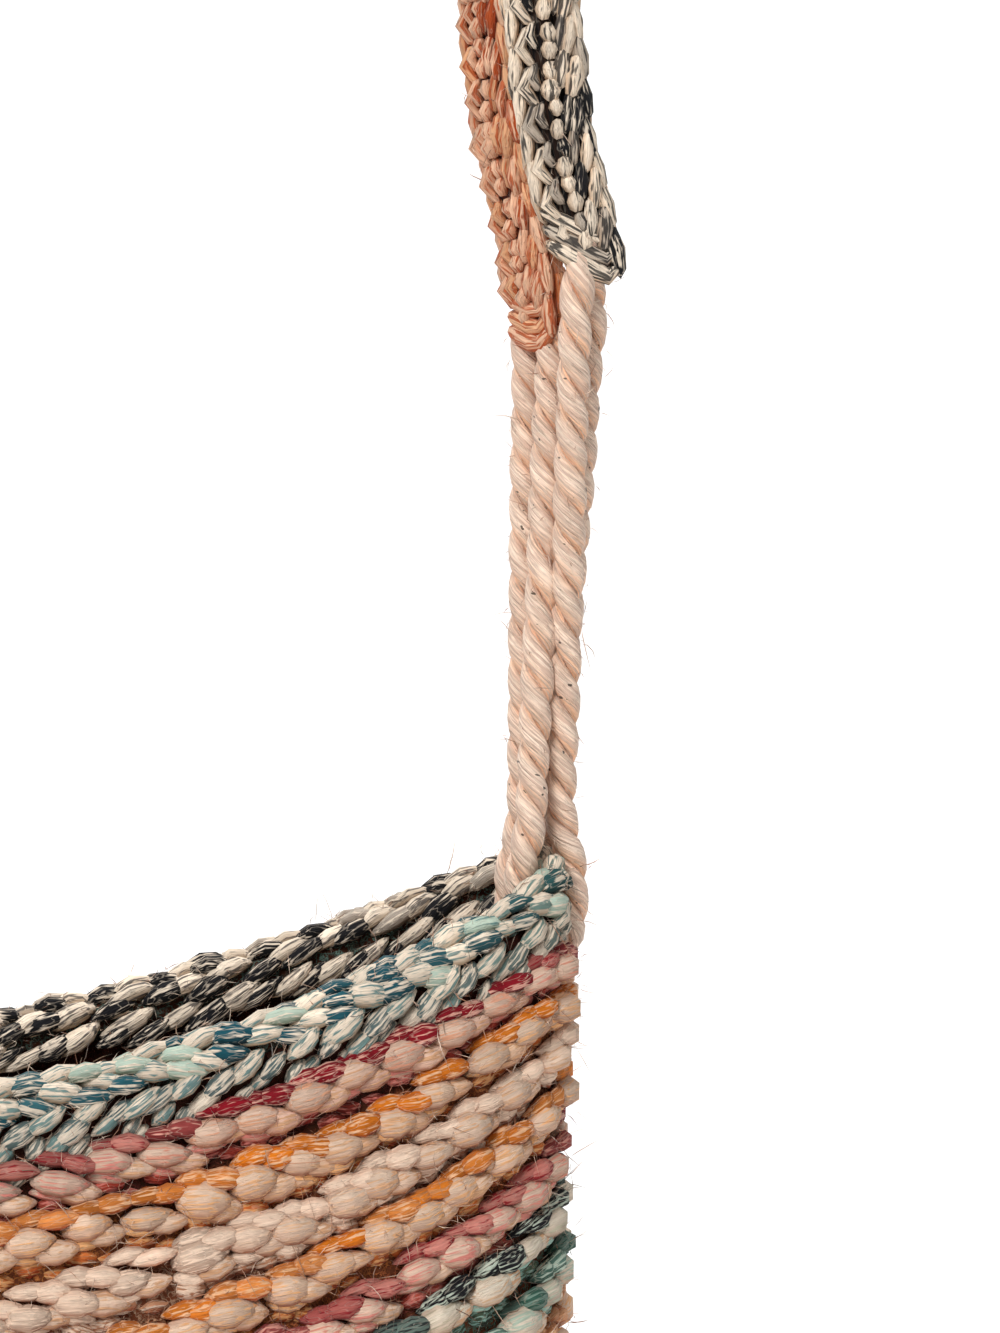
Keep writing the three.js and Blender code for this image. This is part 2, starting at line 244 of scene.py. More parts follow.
def wall_normal(share, angle):
    """Direction out of the wall, from differences along both parameters, turned down beside the base."""
    step = 0.012
    around = wall_point(share, angle + step) - wall_point(share, angle - step)
    low = np.clip(share - step, 0, 1 - step)
    high = np.clip(share + step, step, 1)
    upward = wall_point(high, angle) - wall_point(low, angle)
    normal = unit(np.cross(around, upward))
    down = 1 - smooth_step(share, 0, 0.1)
    return unit(normal * (1 - down)[..., None] + down[..., None] * np.array([0, 0, -1]))


def near_end(point, half_depth, power):
    """1 on the bag's two ends, falling off to front and back by an exponential of a power."""
    return np.exp(-((point[..., 1] / half_depth) ** power)) * (np.abs(point[..., 0]) > CORNER_REGION)


def wall_thickness(share, point):
    """The wall's thickness, blended towards the eyelet's thickness near the top of both ends."""
    pinch = near_end(point, PINCH_HALF_DEPTH, 4) * smooth_step(share, *PINCH_SHARES)
    return WALL_THICKNESS + (WALL_THICKNESS_AT_EYELET - WALL_THICKNESS) * pinch


LEVEL_SAMPLES = 97
TURN_SAMPLES = 721


def even_turns():
    """For each level, the angle at each even share of the way round, and the length of the round."""
    shares = np.linspace(0, 1, LEVEL_SAMPLES)[:, None]
    angles = np.linspace(0, FULL_TURN, 4 * TURN_SAMPLES)[None, :]
    points = wall_point(shares + 0 * angles, angles + 0 * shares)
    steps = np.linalg.norm(np.diff(points, axis=1), axis=2)
    run = np.concatenate([np.zeros((LEVEL_SAMPLES, 1)), np.cumsum(steps, axis=1)], axis=1)
    wanted = np.linspace(0, 1, TURN_SAMPLES)
    found = [np.interp(wanted, level / level[-1], angles[0]) for level in run]
    return np.array(found), run[:, -1]


TURN_ANGLES, ROUND_LENGTHS = even_turns()


def angle_at(share, turn):
    """Angle at a share of the way round, looked up between the four nearest samples."""
    level = np.clip(share, 0, 1) * (LEVEL_SAMPLES - 1)
    whole = np.floor(turn)
    column = (turn - whole) * (TURN_SAMPLES - 1)
    i = np.minimum(level.astype(int), LEVEL_SAMPLES - 2)
    j = np.minimum(column.astype(int), TURN_SAMPLES - 2)
    a, b = level - i, column - j
    low = TURN_ANGLES[i, j] * (1 - b) + TURN_ANGLES[i, j + 1] * b
    high = TURN_ANGLES[i + 1, j] * (1 - b) + TURN_ANGLES[i + 1, j + 1] * b
    return low * (1 - a) + high * a + whole * FULL_TURN


def wall_place(share, turn, out):
    """Point out millimetres off the wall's face and the wall's normal there. The top rows dip a little
    where the cords come through at the two corners."""
    angle = angle_at(share, turn)
    normal = wall_normal(share, angle)
    point = wall_point(share, angle)
    point[..., 2] -= CORNER_DIP * near_end(point, DIP_HALF_DEPTH, 2) * smooth_step(share, *DIP_SHARES)
    return point + out[..., None] * normal, normal


def rim_place(turn, roll, out):
    """Point out millimetres off the rim's roll, and the normal there. roll is 0 out, 90 up, 180 in."""
    share = np.ones_like(turn)
    angle = angle_at(share, turn)
    outer = wall_point(share, angle)
    outward = wall_normal(share, angle)
    outward[..., 2] = 0
    outward = unit(outward)
    half = wall_thickness(share, outer) / 2
    across, up = np.cos(np.radians(roll)), np.sin(np.radians(roll))
    point = outer + outward * (-half + across * (half + out))[..., None]
    point[..., 2] += EDGE_HEIGHT + up * (RIM_HALF_HEIGHT + out)
    normal = outward * across[..., None]
    normal[..., 2] = up
    return point, normal


SPLINE_STEPS = 40
STRAP_SAMPLE_COUNT = 801


def strap_curve():
    """The strap's middle line as a centripetal spline through its chosen points and their mirror images,
    sampled at even distances."""
    right = np.stack([
        STRAP_LINE["out"] * STRAP_HALF_SPAN,
        np.zeros(len(STRAP_LINE["out"])),
        STRAP_LINE["up"] * STRAP_RISE,
    ], axis=1)
    points = np.concatenate([right, right[-2::-1] * [-1, 1, 1]])
    padded = np.concatenate([[2 * points[0] - points[1]], points, [2 * points[-1] - points[-2]]])
    knots = np.linalg.norm(np.diff(padded, axis=0), axis=1) ** 0.5
    t = np.linspace(0, 1, SPLINE_STEPS, endpoint=False)[:, None]
    pieces = []
    for i in range(1, len(padded) - 2):
        p0, p1, p2, p3 = padded[i - 1:i + 3]
        a, b, c = knots[i - 1:i + 2]
        start = ((p1 - p0) / a - (p2 - p0) / (a + b) + (p2 - p1) / b) * b
        stop = ((p2 - p1) / b - (p3 - p1) / (b + c) + (p3 - p2) / c) * b
        pieces.append(
            p1 * (2 * t**3 - 3 * t**2 + 1) + start * (t**3 - 2 * t**2 + t)
            + p2 * (3 * t**2 - 2 * t**3) + stop * (t**3 - t**2)
        )
    line = np.concatenate([*pieces, [padded[-2]]])
    run = np.concatenate([[0], np.cumsum(np.linalg.norm(np.diff(line, axis=0), axis=1))])
    even = np.linspace(0, run[-1], STRAP_SAMPLE_COUNT)
    return np.stack([np.interp(even, run, line[:, k]) for k in range(3)], axis=1), run[-1]


STRAP_SAMPLES, STRAP_LENGTH = strap_curve()
STRAP_TANGENTS = unit(np.gradient(STRAP_SAMPLES, axis=0))


def band_frame(levels, way):
    """Middle, across and thick directions of a band at a share of the way from its right end (0) over the
    top (1) to its left end (2)."""
    share = np.where(way > 1, 2 - way, way)
    at = share / 2 * (len(STRAP_SAMPLES) - 1)

    def looked_up(samples):
        return np.stack([np.interp(at, np.arange(len(samples)), samples[:, k]) for k in range(3)], axis=-1)

    middle, tangent = looked_up(STRAP_SAMPLES), unit(looked_up(STRAP_TANGENTS))
    outward = np.stack([tangent[..., 2], 0 * at, -tangent[..., 0]], axis=-1)
    backward = np.array([0, 1, 0])
    turn = np.radians(value_at(levels, "turn", share))[..., None]
    middle = middle + outward * (BAND_STANCE * value_at(levels, "out", share))[..., None]
    middle = middle + backward * (BAND_STANCE * value_at(levels, "back", share))[..., None]
    middle[..., 2] += CORNER_HEIGHT + DARK_END_ABOVE_CORNER
    across = backward * np.cos(turn) - outward * np.sin(turn)
    thick = unit(np.cross(across, tangent))
    flip = np.where(way > 1, -1, 1)[..., None] * np.array([1, 0, 0]) + np.array([0, 1, 1])
    return middle * flip, across * flip, thick * flip


# Yarn meshes. Painted shade: a ply's sides and underside are painted darker and warmer than its top, by how
# far each point faces away from a light taken to come from above.
SHADED = (-0.3, 0.95)
LIGHT_FROM_ABOVE = np.array([0, 0, 0.6])
SHADE_POWER = 1.5
BODY_SHADE = (0.56, 0.27, 0.16)
RIM_SHADE = (0.42, 0.36, 0.3)
CORD_SHADE = (0.98, 0.8, 0.66)
DARK_BAND_SHADE = (0.74, 0.63, 0.54)
RUST_BAND_SHADE = (0.72, 0.46, 0.32)


# How far apart the grain of two plies may lie, in millimetres, and the least turn outward of a point that
# loose fibres start on
GRAIN_SPREAD = 400
LEAST_OUTWARD = -0.3

# Loose fibres: their radius, the reach of a short one as a share of a long one's, how many are warm
HAIR_RADIUS = (0.05, 0.11)
SHORT_REACH = 0.62
WARM_SHARE = 0.35
CELL_MARGIN = 0.08


def tube_faces(rings, sides):
    """Point numbers of one tube's faces: quads between its rings, then a fan of triangles at each tip.
    The rings' points come first, then the first tip and the last one."""
    ring = np.repeat(np.arange(rings - 1), sides)
    side = np.tile(np.arange(sides), rings - 1)
    beside = (side + 1) % sides
    low, high = ring * sides, (ring + 1) * sides
    quads = np.stack([low + side, low + beside, high + beside, high + side], axis=1)
    side = np.arange(sides)
    beside = (side + 1) % sides
    tip = np.full(sides, rings * sides)
    end = (rings - 1) * sides
    first_fan = np.stack([tip, beside, side], axis=1)
    last_fan = np.stack([tip + 1, end + side, end + beside], axis=1)
    return quads, np.concatenate([first_fan, last_fan])


def tube_map(rings, sides):
    """Places of one tube's corners on a unit square, in the order of tube_faces: along the tube one way,
    around it the other."""
    along = np.arange(1, rings + 1) / (rings + 1)
    ring = np.repeat(np.arange(rings - 1), sides)
    side = np.tile(np.arange(sides), rings - 1)
    quad_along = np.stack([along[ring], along[ring], along[ring + 1], along[ring + 1]], axis=1)
    quad_around = np.stack([side, side + 1, side + 1, side], axis=1) / sides
    side = np.arange(sides)
    fan_along = np.repeat([[0, along[0], along[0]], [1, along[-1], along[-1]]], sides, axis=0)
    first_fan = np.stack([side + 0.5, side + 1, side], axis=1)
    last_fan = np.stack([side + 0.5, side, side + 1], axis=1)
    fan_around = np.concatenate([first_fan, last_fan]) / sides
    return np.stack([quad_along, quad_around], axis=2), np.stack([fan_along, fan_around], axis=2)


class Yarn:
    """Collects closed tubes of yarn, each with its own colours, into one mesh."""

    def __init__(self, painted_shade_tint=BODY_SHADE):
        self.painted_shade_tint = np.array(painted_shade_tint)
        self.points, self.quads, self.corners, self.maps = [], [], [], []
        self.tints, self.streaks, self.grains, self.roots = [], [], [], []
        self.count, self.tubes = 0, 0

    def add(self, paths, lifts, wide, deep, tint, streak, amount, profile, sides=7):
        """Tubes along many paths at once. A ring at each inner point of a path is an oval whose half
        widths are wide (along the surface) and deep (along lifts) times the profile there, and the two
        end points of the path are the tips. tint and streak are the two colours of the fibres."""
        number, steps = paths.shape[:2]
        tangent = unit(np.gradient(paths, axis=1))
        side = unit(np.cross(lifts, tangent))
        up = np.cross(tangent, side)
        angle = np.arange(sides) * FULL_TURN / sides
        size = np.broadcast_to(profile, (number, steps))[:, 1:-1, None]
        over_side = size * np.cos(angle) * np.reshape(wide, (-1, 1, 1))
        over_up = size * np.sin(angle) * np.reshape(deep, (-1, 1, 1))
        spokes = over_side[..., None] * side[:, 1:-1, None] + over_up[..., None] * up[:, 1:-1, None]
        body = paths[:, 1:-1, None, :] + spokes
        points = np.concatenate([body.reshape(number, -1, 3), paths[:, [0, -1]]], axis=1)
        self.points.append(points.reshape(-1, 3))
        tint = np.asarray(tint)
        if tint.ndim < 3:
            tint = tint.reshape(-1, 1, 3)
        shade = np.broadcast_to(tint, (number, steps, 3))
        self.add_grain(paths, over_side, over_up)
        self.add_faces(number, steps - 2, sides)
        self.add_colours(shade, spokes, lifts, streak, amount)
        self.add_roots(body, spokes, lifts, tangent, shade)

    def add_grain(self, paths, over_side, over_up):
        """Each point's place in its own ply, along it and across it, moved to a random seat."""
        number, _, sides = over_side.shape
        run = np.cumsum(np.linalg.norm(np.diff(paths, axis=1, prepend=paths[:, :1]), axis=2), axis=1)
        along = np.repeat(run[:, 1:-1], sides, axis=1)
        grain = np.stack([along, over_side.reshape(number, -1), over_up.reshape(number, -1)], axis=2)
        ends = np.zeros((number, 2, 3))
        ends[:, :, 0] = run[:, [0, -1]]
        seat = chance.uniform(-GRAIN_SPREAD, GRAIN_SPREAD, (number, 1, 3))
        self.grains.append((np.concatenate([grain, ends], axis=1) + seat).reshape(-1, 3))

    def add_faces(self, number, rings, sides):
        """The faces of many equal tubes, and each tube's number for its cell of the map."""
        quads, fans = tube_faces(rings, sides)
        per_tube = rings * sides + 2
        base = self.count + np.arange(number)[:, None, None] * per_tube
        self.quads.append((base + quads).reshape(-1, 4))
        self.corners.append((base + fans).reshape(-1, 3))
        self.maps.append((self.tubes + np.arange(number), *tube_map(rings, sides)))
        self.count += number * per_tube
        self.tubes += number

    def add_colours(self, shade, spokes, lifts, streak, amount):
        """The fibres' own colour, blended to a painted deep shade where a point turns away from the light
        from above, with each tip painted half way to that shade, and the colour of their streaks with its
        amount."""
        number = len(spokes)
        towards_light = unit(lifts + LIGHT_FROM_ABOVE)[:, 1:-1, None]
        lit = smooth_step((unit(spokes) * towards_light).sum(axis=-1, keepdims=True), *SHADED)
        deep_shade = shade**SHADE_POWER * self.painted_shade_tint
        inner = shade[:, 1:-1, None] * lit + deep_shade[:, 1:-1, None] * (1 - lit)
        tips = (shade + deep_shade)[:, [0, -1]] / 2
        tints = np.concatenate([inner.reshape(number, -1, 3), tips], axis=1)
        second = np.broadcast_to(np.reshape(streak, (-1, 1, 3)), tints.shape)
        share = np.broadcast_to(np.reshape(amount, (-1, 1, 1)), (*tints.shape[:2], 1))
        self.tints.append(tints.reshape(-1, 3))
        self.streaks.append(np.concatenate([second, share], axis=2).reshape(-1, 4))

    def add_roots(self, body, spokes, lifts, tangent, shade):
        """Keeps the points that loose fibres may start on, with the direction off the ply, the direction
        along it and its colour."""
        off = unit(spokes)
        outward = (off * lifts[:, 1:-1, None]).sum(axis=-1).ravel()
        along = np.broadcast_to(tangent[:, 1:-1, None], body.shape)
        near = np.broadcast_to(shade[:, 1:-1, None], body.shape)
        kept = outward > LEAST_OUTWARD
        self.roots.append(np.stack([row.reshape(-1, 3)[kept] for row in (body, off, along, near)], axis=1))

    def hairs(self, name, long_number, short_number, reach, slot):
        """Loose fibres: thin three-sided tubes that start on a ply, lie mostly along it, lift off and
        curl. Each path is the root plus a rising and falling term off the ply, a term along it and a
        random bend that grows with the square of the length."""
        roots = np.concatenate(self.roots)
        strands = Yarn()
        for number, steps, furthest in [(long_number, 4, reach), (short_number, 3, SHORT_REACH * reach)]:
            each = (number, 1, 1)
            root, off, along, near = chance.choice(roots, number).reshape(number, 4, 1, 3).swapaxes(0, 1)
            s = np.linspace(0, 1, steps)[None, :, None]
            length = furthest * chance.uniform(0.35, 1, each) ** 1.3
            either_way = along * chance.choice([-1, 1], each)
            way = unit(either_way + chance.normal(0, 0.8, (number, 1, 3)))
            rise = chance.uniform(0.1, 0.75, each)
            bend = chance.normal(0, 0.7, (number, 1, 3))
            paths = root + length * (way * s + off * rise * (s - 0.6 * s**2) + bend * s**2)
            share = chance.uniform(0.0, 0.8, each)
            warm = chance.choice([0, 1], each, p=[1 - WARM_SHARE, WARM_SHARE])
            pale = CREAM * (1 - warm) + WARM_SHADE * 0.8 * warm
            tint = np.clip((near * share + pale * (1 - share)) * chance.uniform(0.8, 1.05, each), 0, 1)
            lifts = np.broadcast_to(off, paths.shape)
            fine = chance.uniform(*HAIR_RADIUS, number)
            strands.add(paths, lifts, fine, fine, tint, CREAM, 0.0, np.linspace(1.1, 0.7, steps), sides=3)
        strands.piece(name, FUZZ, slot)

    def bake_map(self):
        """A map where each tube has one cell of a square grid: along the tube one way, around it the
        other."""
        cells = math.ceil(math.sqrt(self.tubes))
        inside = 1 - 2 * CELL_MARGIN
        quads, fans = [], []
        for tube, quad, fan in self.maps:
            corner = np.stack([tube % cells, tube // cells], 1)[:, None, None]
            quads.append(((corner + CELL_MARGIN + inside * quad[None]) / cells).reshape(-1, 2))
            fans.append(((corner + CELL_MARGIN + inside * fan[None]) / cells).reshape(-1, 2))
        return np.concatenate([*quads, *fans])

    def piece(self, name, material, slot, *nodes):
        """The finished object, in metres and in the shared frame."""
        quads, corners = np.concatenate(self.quads), np.concatenate(self.corners)
        mesh = mesh_from(name, np.concatenate(self.points), quads, corners)
        mesh.uv_layers.new(name="OFBake").uv.foreach_set("vector", self.bake_map().ravel())
        give(mesh, "grain", "FLOAT_VECTOR", "vector", np.concatenate(self.grains))
        tints = np.concatenate(self.tints)
        give(mesh, "tint", "FLOAT_COLOR", "color", np.concatenate([tints, tints[:, :1] * 0 + 1], axis=1))
        give(mesh, "streak", "FLOAT_COLOR", "color", np.concatenate(self.streaks))
        return placed(name, mesh, material, slot, *nodes)


def mesh_from(name, points, quads, corners):
    """A smooth mesh in metres from points in millimetres above the base and index arrays."""
    mesh = bpy.data.meshes.new(name)
    mesh.vertices.add(len(points))
    mesh.vertices.foreach_set("co", ((points - [0, 0, HANG_HEIGHT]) * MM).astype(np.float32).ravel())
    order = np.concatenate([quads.ravel(), corners.ravel()]).astype(np.int32)
    mesh.loops.add(len(order))
    mesh.loops.foreach_set("vertex_index", order)
    starts = np.concatenate([np.arange(len(quads)) * 4, quads.size + np.arange(len(corners)) * 3])
    mesh.polygons.add(len(starts))
    mesh.polygons.foreach_set("loop_start", starts.astype(np.int32))
    mesh.polygons.foreach_set("use_smooth", np.ones(len(starts), bool))
    mesh.update(calc_edges=True)
    mesh.validate()
    return mesh


def give(mesh, name, kind, field, values):
    """An attribute with one value for each point of the mesh."""
    layer = mesh.attributes.new(name, kind, "POINT")
    layer.data.foreach_set(field, values.astype(np.float32).ravel())


def placed(name, mesh, material, slot, *nodes):
    """A mesh put in the scene on the bag's one body, with its material, and the nodes that it replaces
    hidden. Its slot is not used.
    """
    piece = bpy.data.objects.new(name, mesh)
    bpy.context.scene.collection.objects.link(piece)
    mesh.materials.append(material)
    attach(piece, "root")
    if nodes:
        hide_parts(*nodes)
    return piece


def shell(name, rings, material, slot, tint, streak, *nodes):
    """A closed ring-shaped shell through a grid of points (round, section), wrapped both ways. The grain
    is the place in millimetres."""
    number, size = rings.shape[:2]
    i, j = np.meshgrid(np.arange(number), np.arange(size), indexing="ij")
    i, j = i.ravel(), j.ravel()
    n, m = (i + 1) % number, (j + 1) % size
    quads = np.stack([i * size + j, n * size + j, n * size + m, i * size + m], axis=1)
    mesh = mesh_from(name, rings.reshape(-1, 3), quads, np.zeros((0, 3), int))
    give(mesh, "grain", "FLOAT_VECTOR", "vector", rings.reshape(-1, 3))
    opaque = np.ones((number * size, 1))
    for attribute, colours in [("tint", tint), ("streak", streak)]:
        colours = np.broadcast_to(colours, (number, size, 3)).reshape(-1, 3)
        give(mesh, attribute, "FLOAT_COLOR", "color", np.concatenate([colours, opaque], axis=1))
    return placed(name, mesh, material, slot, *nodes)


# Shader maths
class Value:
    """Wraps a number socket, so that an expression on it adds its Math nodes."""

    def __init__(self, maker, socket):
        self.maker, self.socket = maker, socket

    def math(self, operation, a, b):
        made = self.maker.node("ShaderNodeMath", {"operation": operation}, [a, b])
        return Value(self.maker, made.outputs[0])

    def __add__(self, other):
        return self.math("ADD", self, other)

    def __radd__(self, other):
        return self.math("ADD", other, self)

    def __sub__(self, other):
        return self.math("SUBTRACT", self, other)

    def __mul__(self, other):
        return self.math("MULTIPLY", self, other)

    def __rmul__(self, other):
        return self.math("MULTIPLY", other, self)

    def size(self):
        return self.math("ABSOLUTE", self, 0)


class Maker:
    """Adds nodes to one material."""

    def __init__(self, name):
        self.material = bpy.data.materials.new(name)
        self.material.use_nodes = True
        self.tree = self.material.node_tree
        self.tree.nodes.clear()

    def node(self, kind, settings=None, sockets=None):
        """One node: its settings first, then values or links for its sockets by number or name."""
        made = self.tree.nodes.new(kind)
        for key, value in (settings or {}).items():
            if key == "stops":
                self.stops(made, value)
            else:
                setattr(made, key, value)
        pairs = sockets.items() if isinstance(sockets, dict) else enumerate(sockets or [])
        for key, value in pairs:
            if isinstance(value, Value):
                value = value.socket
            if isinstance(value, bpy.types.NodeSocket):
                self.tree.links.new(value, made.inputs[key])
            else:
                made.inputs[key].default_value = value
        return made

    def stops(self, ramp, stops):
        for i, (position, level) in enumerate(stops):
            elements = ramp.color_ramp.elements
            element = elements[i] if i < 2 else elements.new(position)
            element.position = position
            element.color = (level, level, level, 1)

    def noise(self, vector, scale, detail, roughness=0.5):
        settings = {"noise_dimensions": "3D"}
        sockets = {"Vector": vector, "Scale": scale, "Detail": detail, "Roughness": roughness}
        return Value(self, self.node("ShaderNodeTexNoise", settings, sockets).outputs["Fac"])

    def ramp(self, value, stops):
        made = self.node("ShaderNodeValToRGB", {"stops": stops}, {"Fac": value})
        return Value(self, made.outputs["Color"])

    def mix(self, factor, a, b, blend="MIX"):
        settings = {"data_type": "RGBA", "blend_type": blend}
        return self.node("ShaderNodeMix", settings, {0: factor, 6: a, 7: b}).outputs[2]

    def stretched(self, vector, factors):
        made = self.node("ShaderNodeVectorMath", {"operation": "MULTIPLY"}, [vector, factors])
        return made.outputs[0]


def wool(name, streak_width, roughness, sheen, bump, threads, speck=0.0):
    """Spun yarn: two colours of fibre in long streaks along each ply, loose threads that curl over it,
    uneven dye and fine fibre relief. A streak is where a stretched noise plus a share of the ply's own
    amount passes a threshold, and a thread is where a soft noise crosses its middle value."""
    maker = Maker(name)
    grain = maker.node("ShaderNodeAttribute", {"attribute_name": "grain"}).outputs["Vector"]
    tint = maker.node("ShaderNodeAttribute", {"attribute_name": "tint"}).outputs["Color"]
    streak = maker.node("ShaderNodeAttribute", {"attribute_name": "streak"})
    fibres = maker.noise(maker.stretched(grain, (0.07, 1, 1)), 1 / streak_width, 1.5, 0.5)
    fine = maker.noise(maker.stretched(grain, (0.05, 1, 1)), 4.5, 1, 0.5)
    cloud = maker.noise(grain, 0.5, 2)
    amount = Value(maker, streak.outputs["Alpha"])
    mask = maker.ramp(fibres + 0.3 * amount, [(0.61, 0), (0.7, 1)]) * 0.9
    colour = maker.mix(mask, tint, streak.outputs["Color"])
    crossing = (maker.noise(maker.stretched(grain, (0.3, 1, 1)), 0.9, 1) - 0.5).size()
    loose = maker.ramp(crossing, [(0.0, 1), (0.03, 0)])
    pale = maker.mix(0.5, streak.outputs["Color"], (*CREAM, 1))
    colour = maker.mix(loose * threads, colour, pale)
    shade = 0.6 + 0.44 * fine + 0.34 * cloud
    grey = maker.node("ShaderNodeCombineXYZ", None, [shade, shade, shade]).outputs[0]
    colour = maker.mix(1.0, colour, grey, "MULTIPLY")
    if speck:
        dots = maker.ramp(maker.noise(grain, 0.8, 1), [(0.74, 0), (0.75, 1)])
        colour = maker.mix(dots * speck, colour, (*CORD_SPECK, 1))
    relief = maker.node("ShaderNodeBump", None, {
        "Strength": bump, "Distance": 0.001, "Height": 0.6 * fibres + 0.35 * fine + 0.1 * loose,
    })
    shader = maker.node("ShaderNodeBsdfPrincipled", None, {
        "Base Color": colour, "Roughness": roughness, "Sheen Weight": sheen, "Sheen Roughness": 0.4,
        "Specular IOR Level": 0.25, "Normal": relief.outputs[0],
    })
    maker.node("ShaderNodeOutputMaterial", None, {"Surface": shader.outputs[0]})
    return maker.material


def tangle(name):
    """The shaded tangle of fibres in the grooves: pale thin threads, where two soft noises cross their
    middle values, over the shell's painted shade colour."""
    maker = Maker(name)
    grain = maker.node("ShaderNodeAttribute", {"attribute_name": "grain"}).outputs["Vector"]
    tint = maker.node("ShaderNodeAttribute", {"attribute_name": "tint"}).outputs["Color"]
    streak = maker.node("ShaderNodeAttribute", {"attribute_name": "streak"}).outputs["Color"]
    first = (maker.noise(grain, 0.55, 3, 0.6) - 0.5).size()
    second = (maker.noise(grain, 1.1, 2, 0.6) - 0.5).size()
    lines = maker.ramp(first, [(0.0, 1), (0.05, 0)]) * 0.7 + maker.ramp(second, [(0.0, 1), (0.05, 0)]) * 0.4
    colour = maker.mix(lines, tint, streak)
    relief = maker.node("ShaderNodeBump", None, {"Strength": 0.6, "Distance": 0.001, "Height": lines})
    shader = maker.node("ShaderNodeBsdfPrincipled", None, {
        "Base Color": colour, "Roughness": 0.9, "Specular IOR Level": 0.2, "Normal": relief.outputs[0],
    })
    maker.node("ShaderNodeOutputMaterial", None, {"Surface": shader.outputs[0]})
    return maker.material


BODY_WOOL = wool("body_wool", streak_width=0.5, roughness=0.86, sheen=0.05, bump=0.8, threads=0.35)
RIM_WOOL = wool("rim_wool", streak_width=0.5, roughness=0.84, sheen=0.03, bump=0.8, threads=0.3)
BAND_YARN = wool("band_yarn", streak_width=0.5, roughness=0.72, sheen=0.04, bump=0.9, threads=0.25)
CORD_SILK = wool("cord_silk", streak_width=0.4, roughness=0.5, sheen=0.12, bump=1.0, threads=0.6, speck=0.9)
FUZZ = wool("fuzz", streak_width=0.8, roughness=0.8, sheen=0.3, bump=0.0, threads=0.0)
TANGLE = tangle("tangle")


# Profiles of a ply along its length
def leaf_steps(steps):
    """Shares along a ply that crowd towards its two tips."""
    return 0.5 - 0.5 * np.cos(np.linspace(0, math.pi, steps))


def leaf_profile(t, blunt, lean):
    """Thickness of a ply: a sine to the power blunt, fuller before the middle where lean is positive."""
    return np.sin(math.pi * np.clip(t, 1e-4, 1)) ** blunt * (1 + lean * (0.5 - t))


def jitter(count, size):
    """One random offset for each stitch, up to size either way."""
    return chance.uniform(-size, size, (count, 1))


def between(a, b, share):
    """Colours mixed by a share for each stitch."""
    share = np.reshape(share, (-1, 1))
    return a * (1 - share) + b * share


def wander(count, lumps):
    """A smooth wavy value from 0 to 1 round a row of stitches, with random lumps."""
    angle = np.arange(count) / count * FULL_TURN
    waves = sum(np.sin(angle * n + chance.uniform(0, FULL_TURN)) for n in range(lumps, lumps + 4))
    return np.clip(0.5 + waves / 4 + chance.uniform(-0.25, 0.25, count), 0, 1)


def row_yarn(row, turn):
    """Colours of one stitch after another: the back half of each round runs one yarn further on."""
    order = len(ROW_YARNS)
    front = ROW_YARNS[(ROW_COUNT - 1 - row) % order]
    back = ROW_YARNS[(ROW_COUNT + 3 - row) % order]
    behind = smooth_step(np.sin(turn * FULL_TURN), -0.1, 0.1)[:, None]
    return [a * (1 - behind) + b * behind for a, b in zip(front, back)]


# Outer rows
FIRST_FINE_ROW = 13
# Painted shade: the warm darkening of the plies sunk in the grooves.
SUNKEN_PAINTED_SHADE = np.array([0.92, 0.66, 0.52])
# Painted shade: how far the core's shade colour is dimmed in the grooves, and much further under the rim.
GROOVE_PAINTED_SHADE = 0.75
UNDER_RIM_PAINTED_SHADE = 0.18

# Place of each ply in its stitch: where it begins and its length, in stitches, its height at both ends from
# the row's middle, in rows, then its swell, its sink and its rise towards the tip, in millimetres
PUFF = (-0.14, 1.26, 0.3, -0.06, 2.4, 1.5, 1.0)
PUFF_BELOW = (0.12, 1.1, 0.0, -0.34, 2.0, 1.6, 0.7)
PUFF_TOP_EDGE = (0.4, 0.94, 0.44, 0.3, 1.2, 1.7, 0.2)
PUFF_LOW_EDGE = (-0.05, 0.85, -0.2, -0.46, 1.2, 1.8, 0.2)
LEAF = (-0.08, 1.08, 0.06, -0.12, 2.0, 1.2, 1.0)
LEAF_BELOW = (0.36, 0.98, -0.12, -0.32, 1.5, 1.4, 0.5)
LEAF_LOW_EDGE = (-0.1, 0.9, -0.14, -0.38, 1.0, 1.3, 0.2)
DYED = (0.38, 0.98, 0.28, 0.1, 1.8, 0.8, 0.5)
DYED_TOP_EDGE = (-0.04, 0.98, 0.36, 0.22, 1.4, 1.2, 0.3)


def stitches_in(share):
    """Number of stitches in the round at a share of the height."""
    length = np.interp(share, np.linspace(0, 1, LEVEL_SAMPLES), ROUND_LENGTHS)
    return int(round(length / STITCH_PITCH))


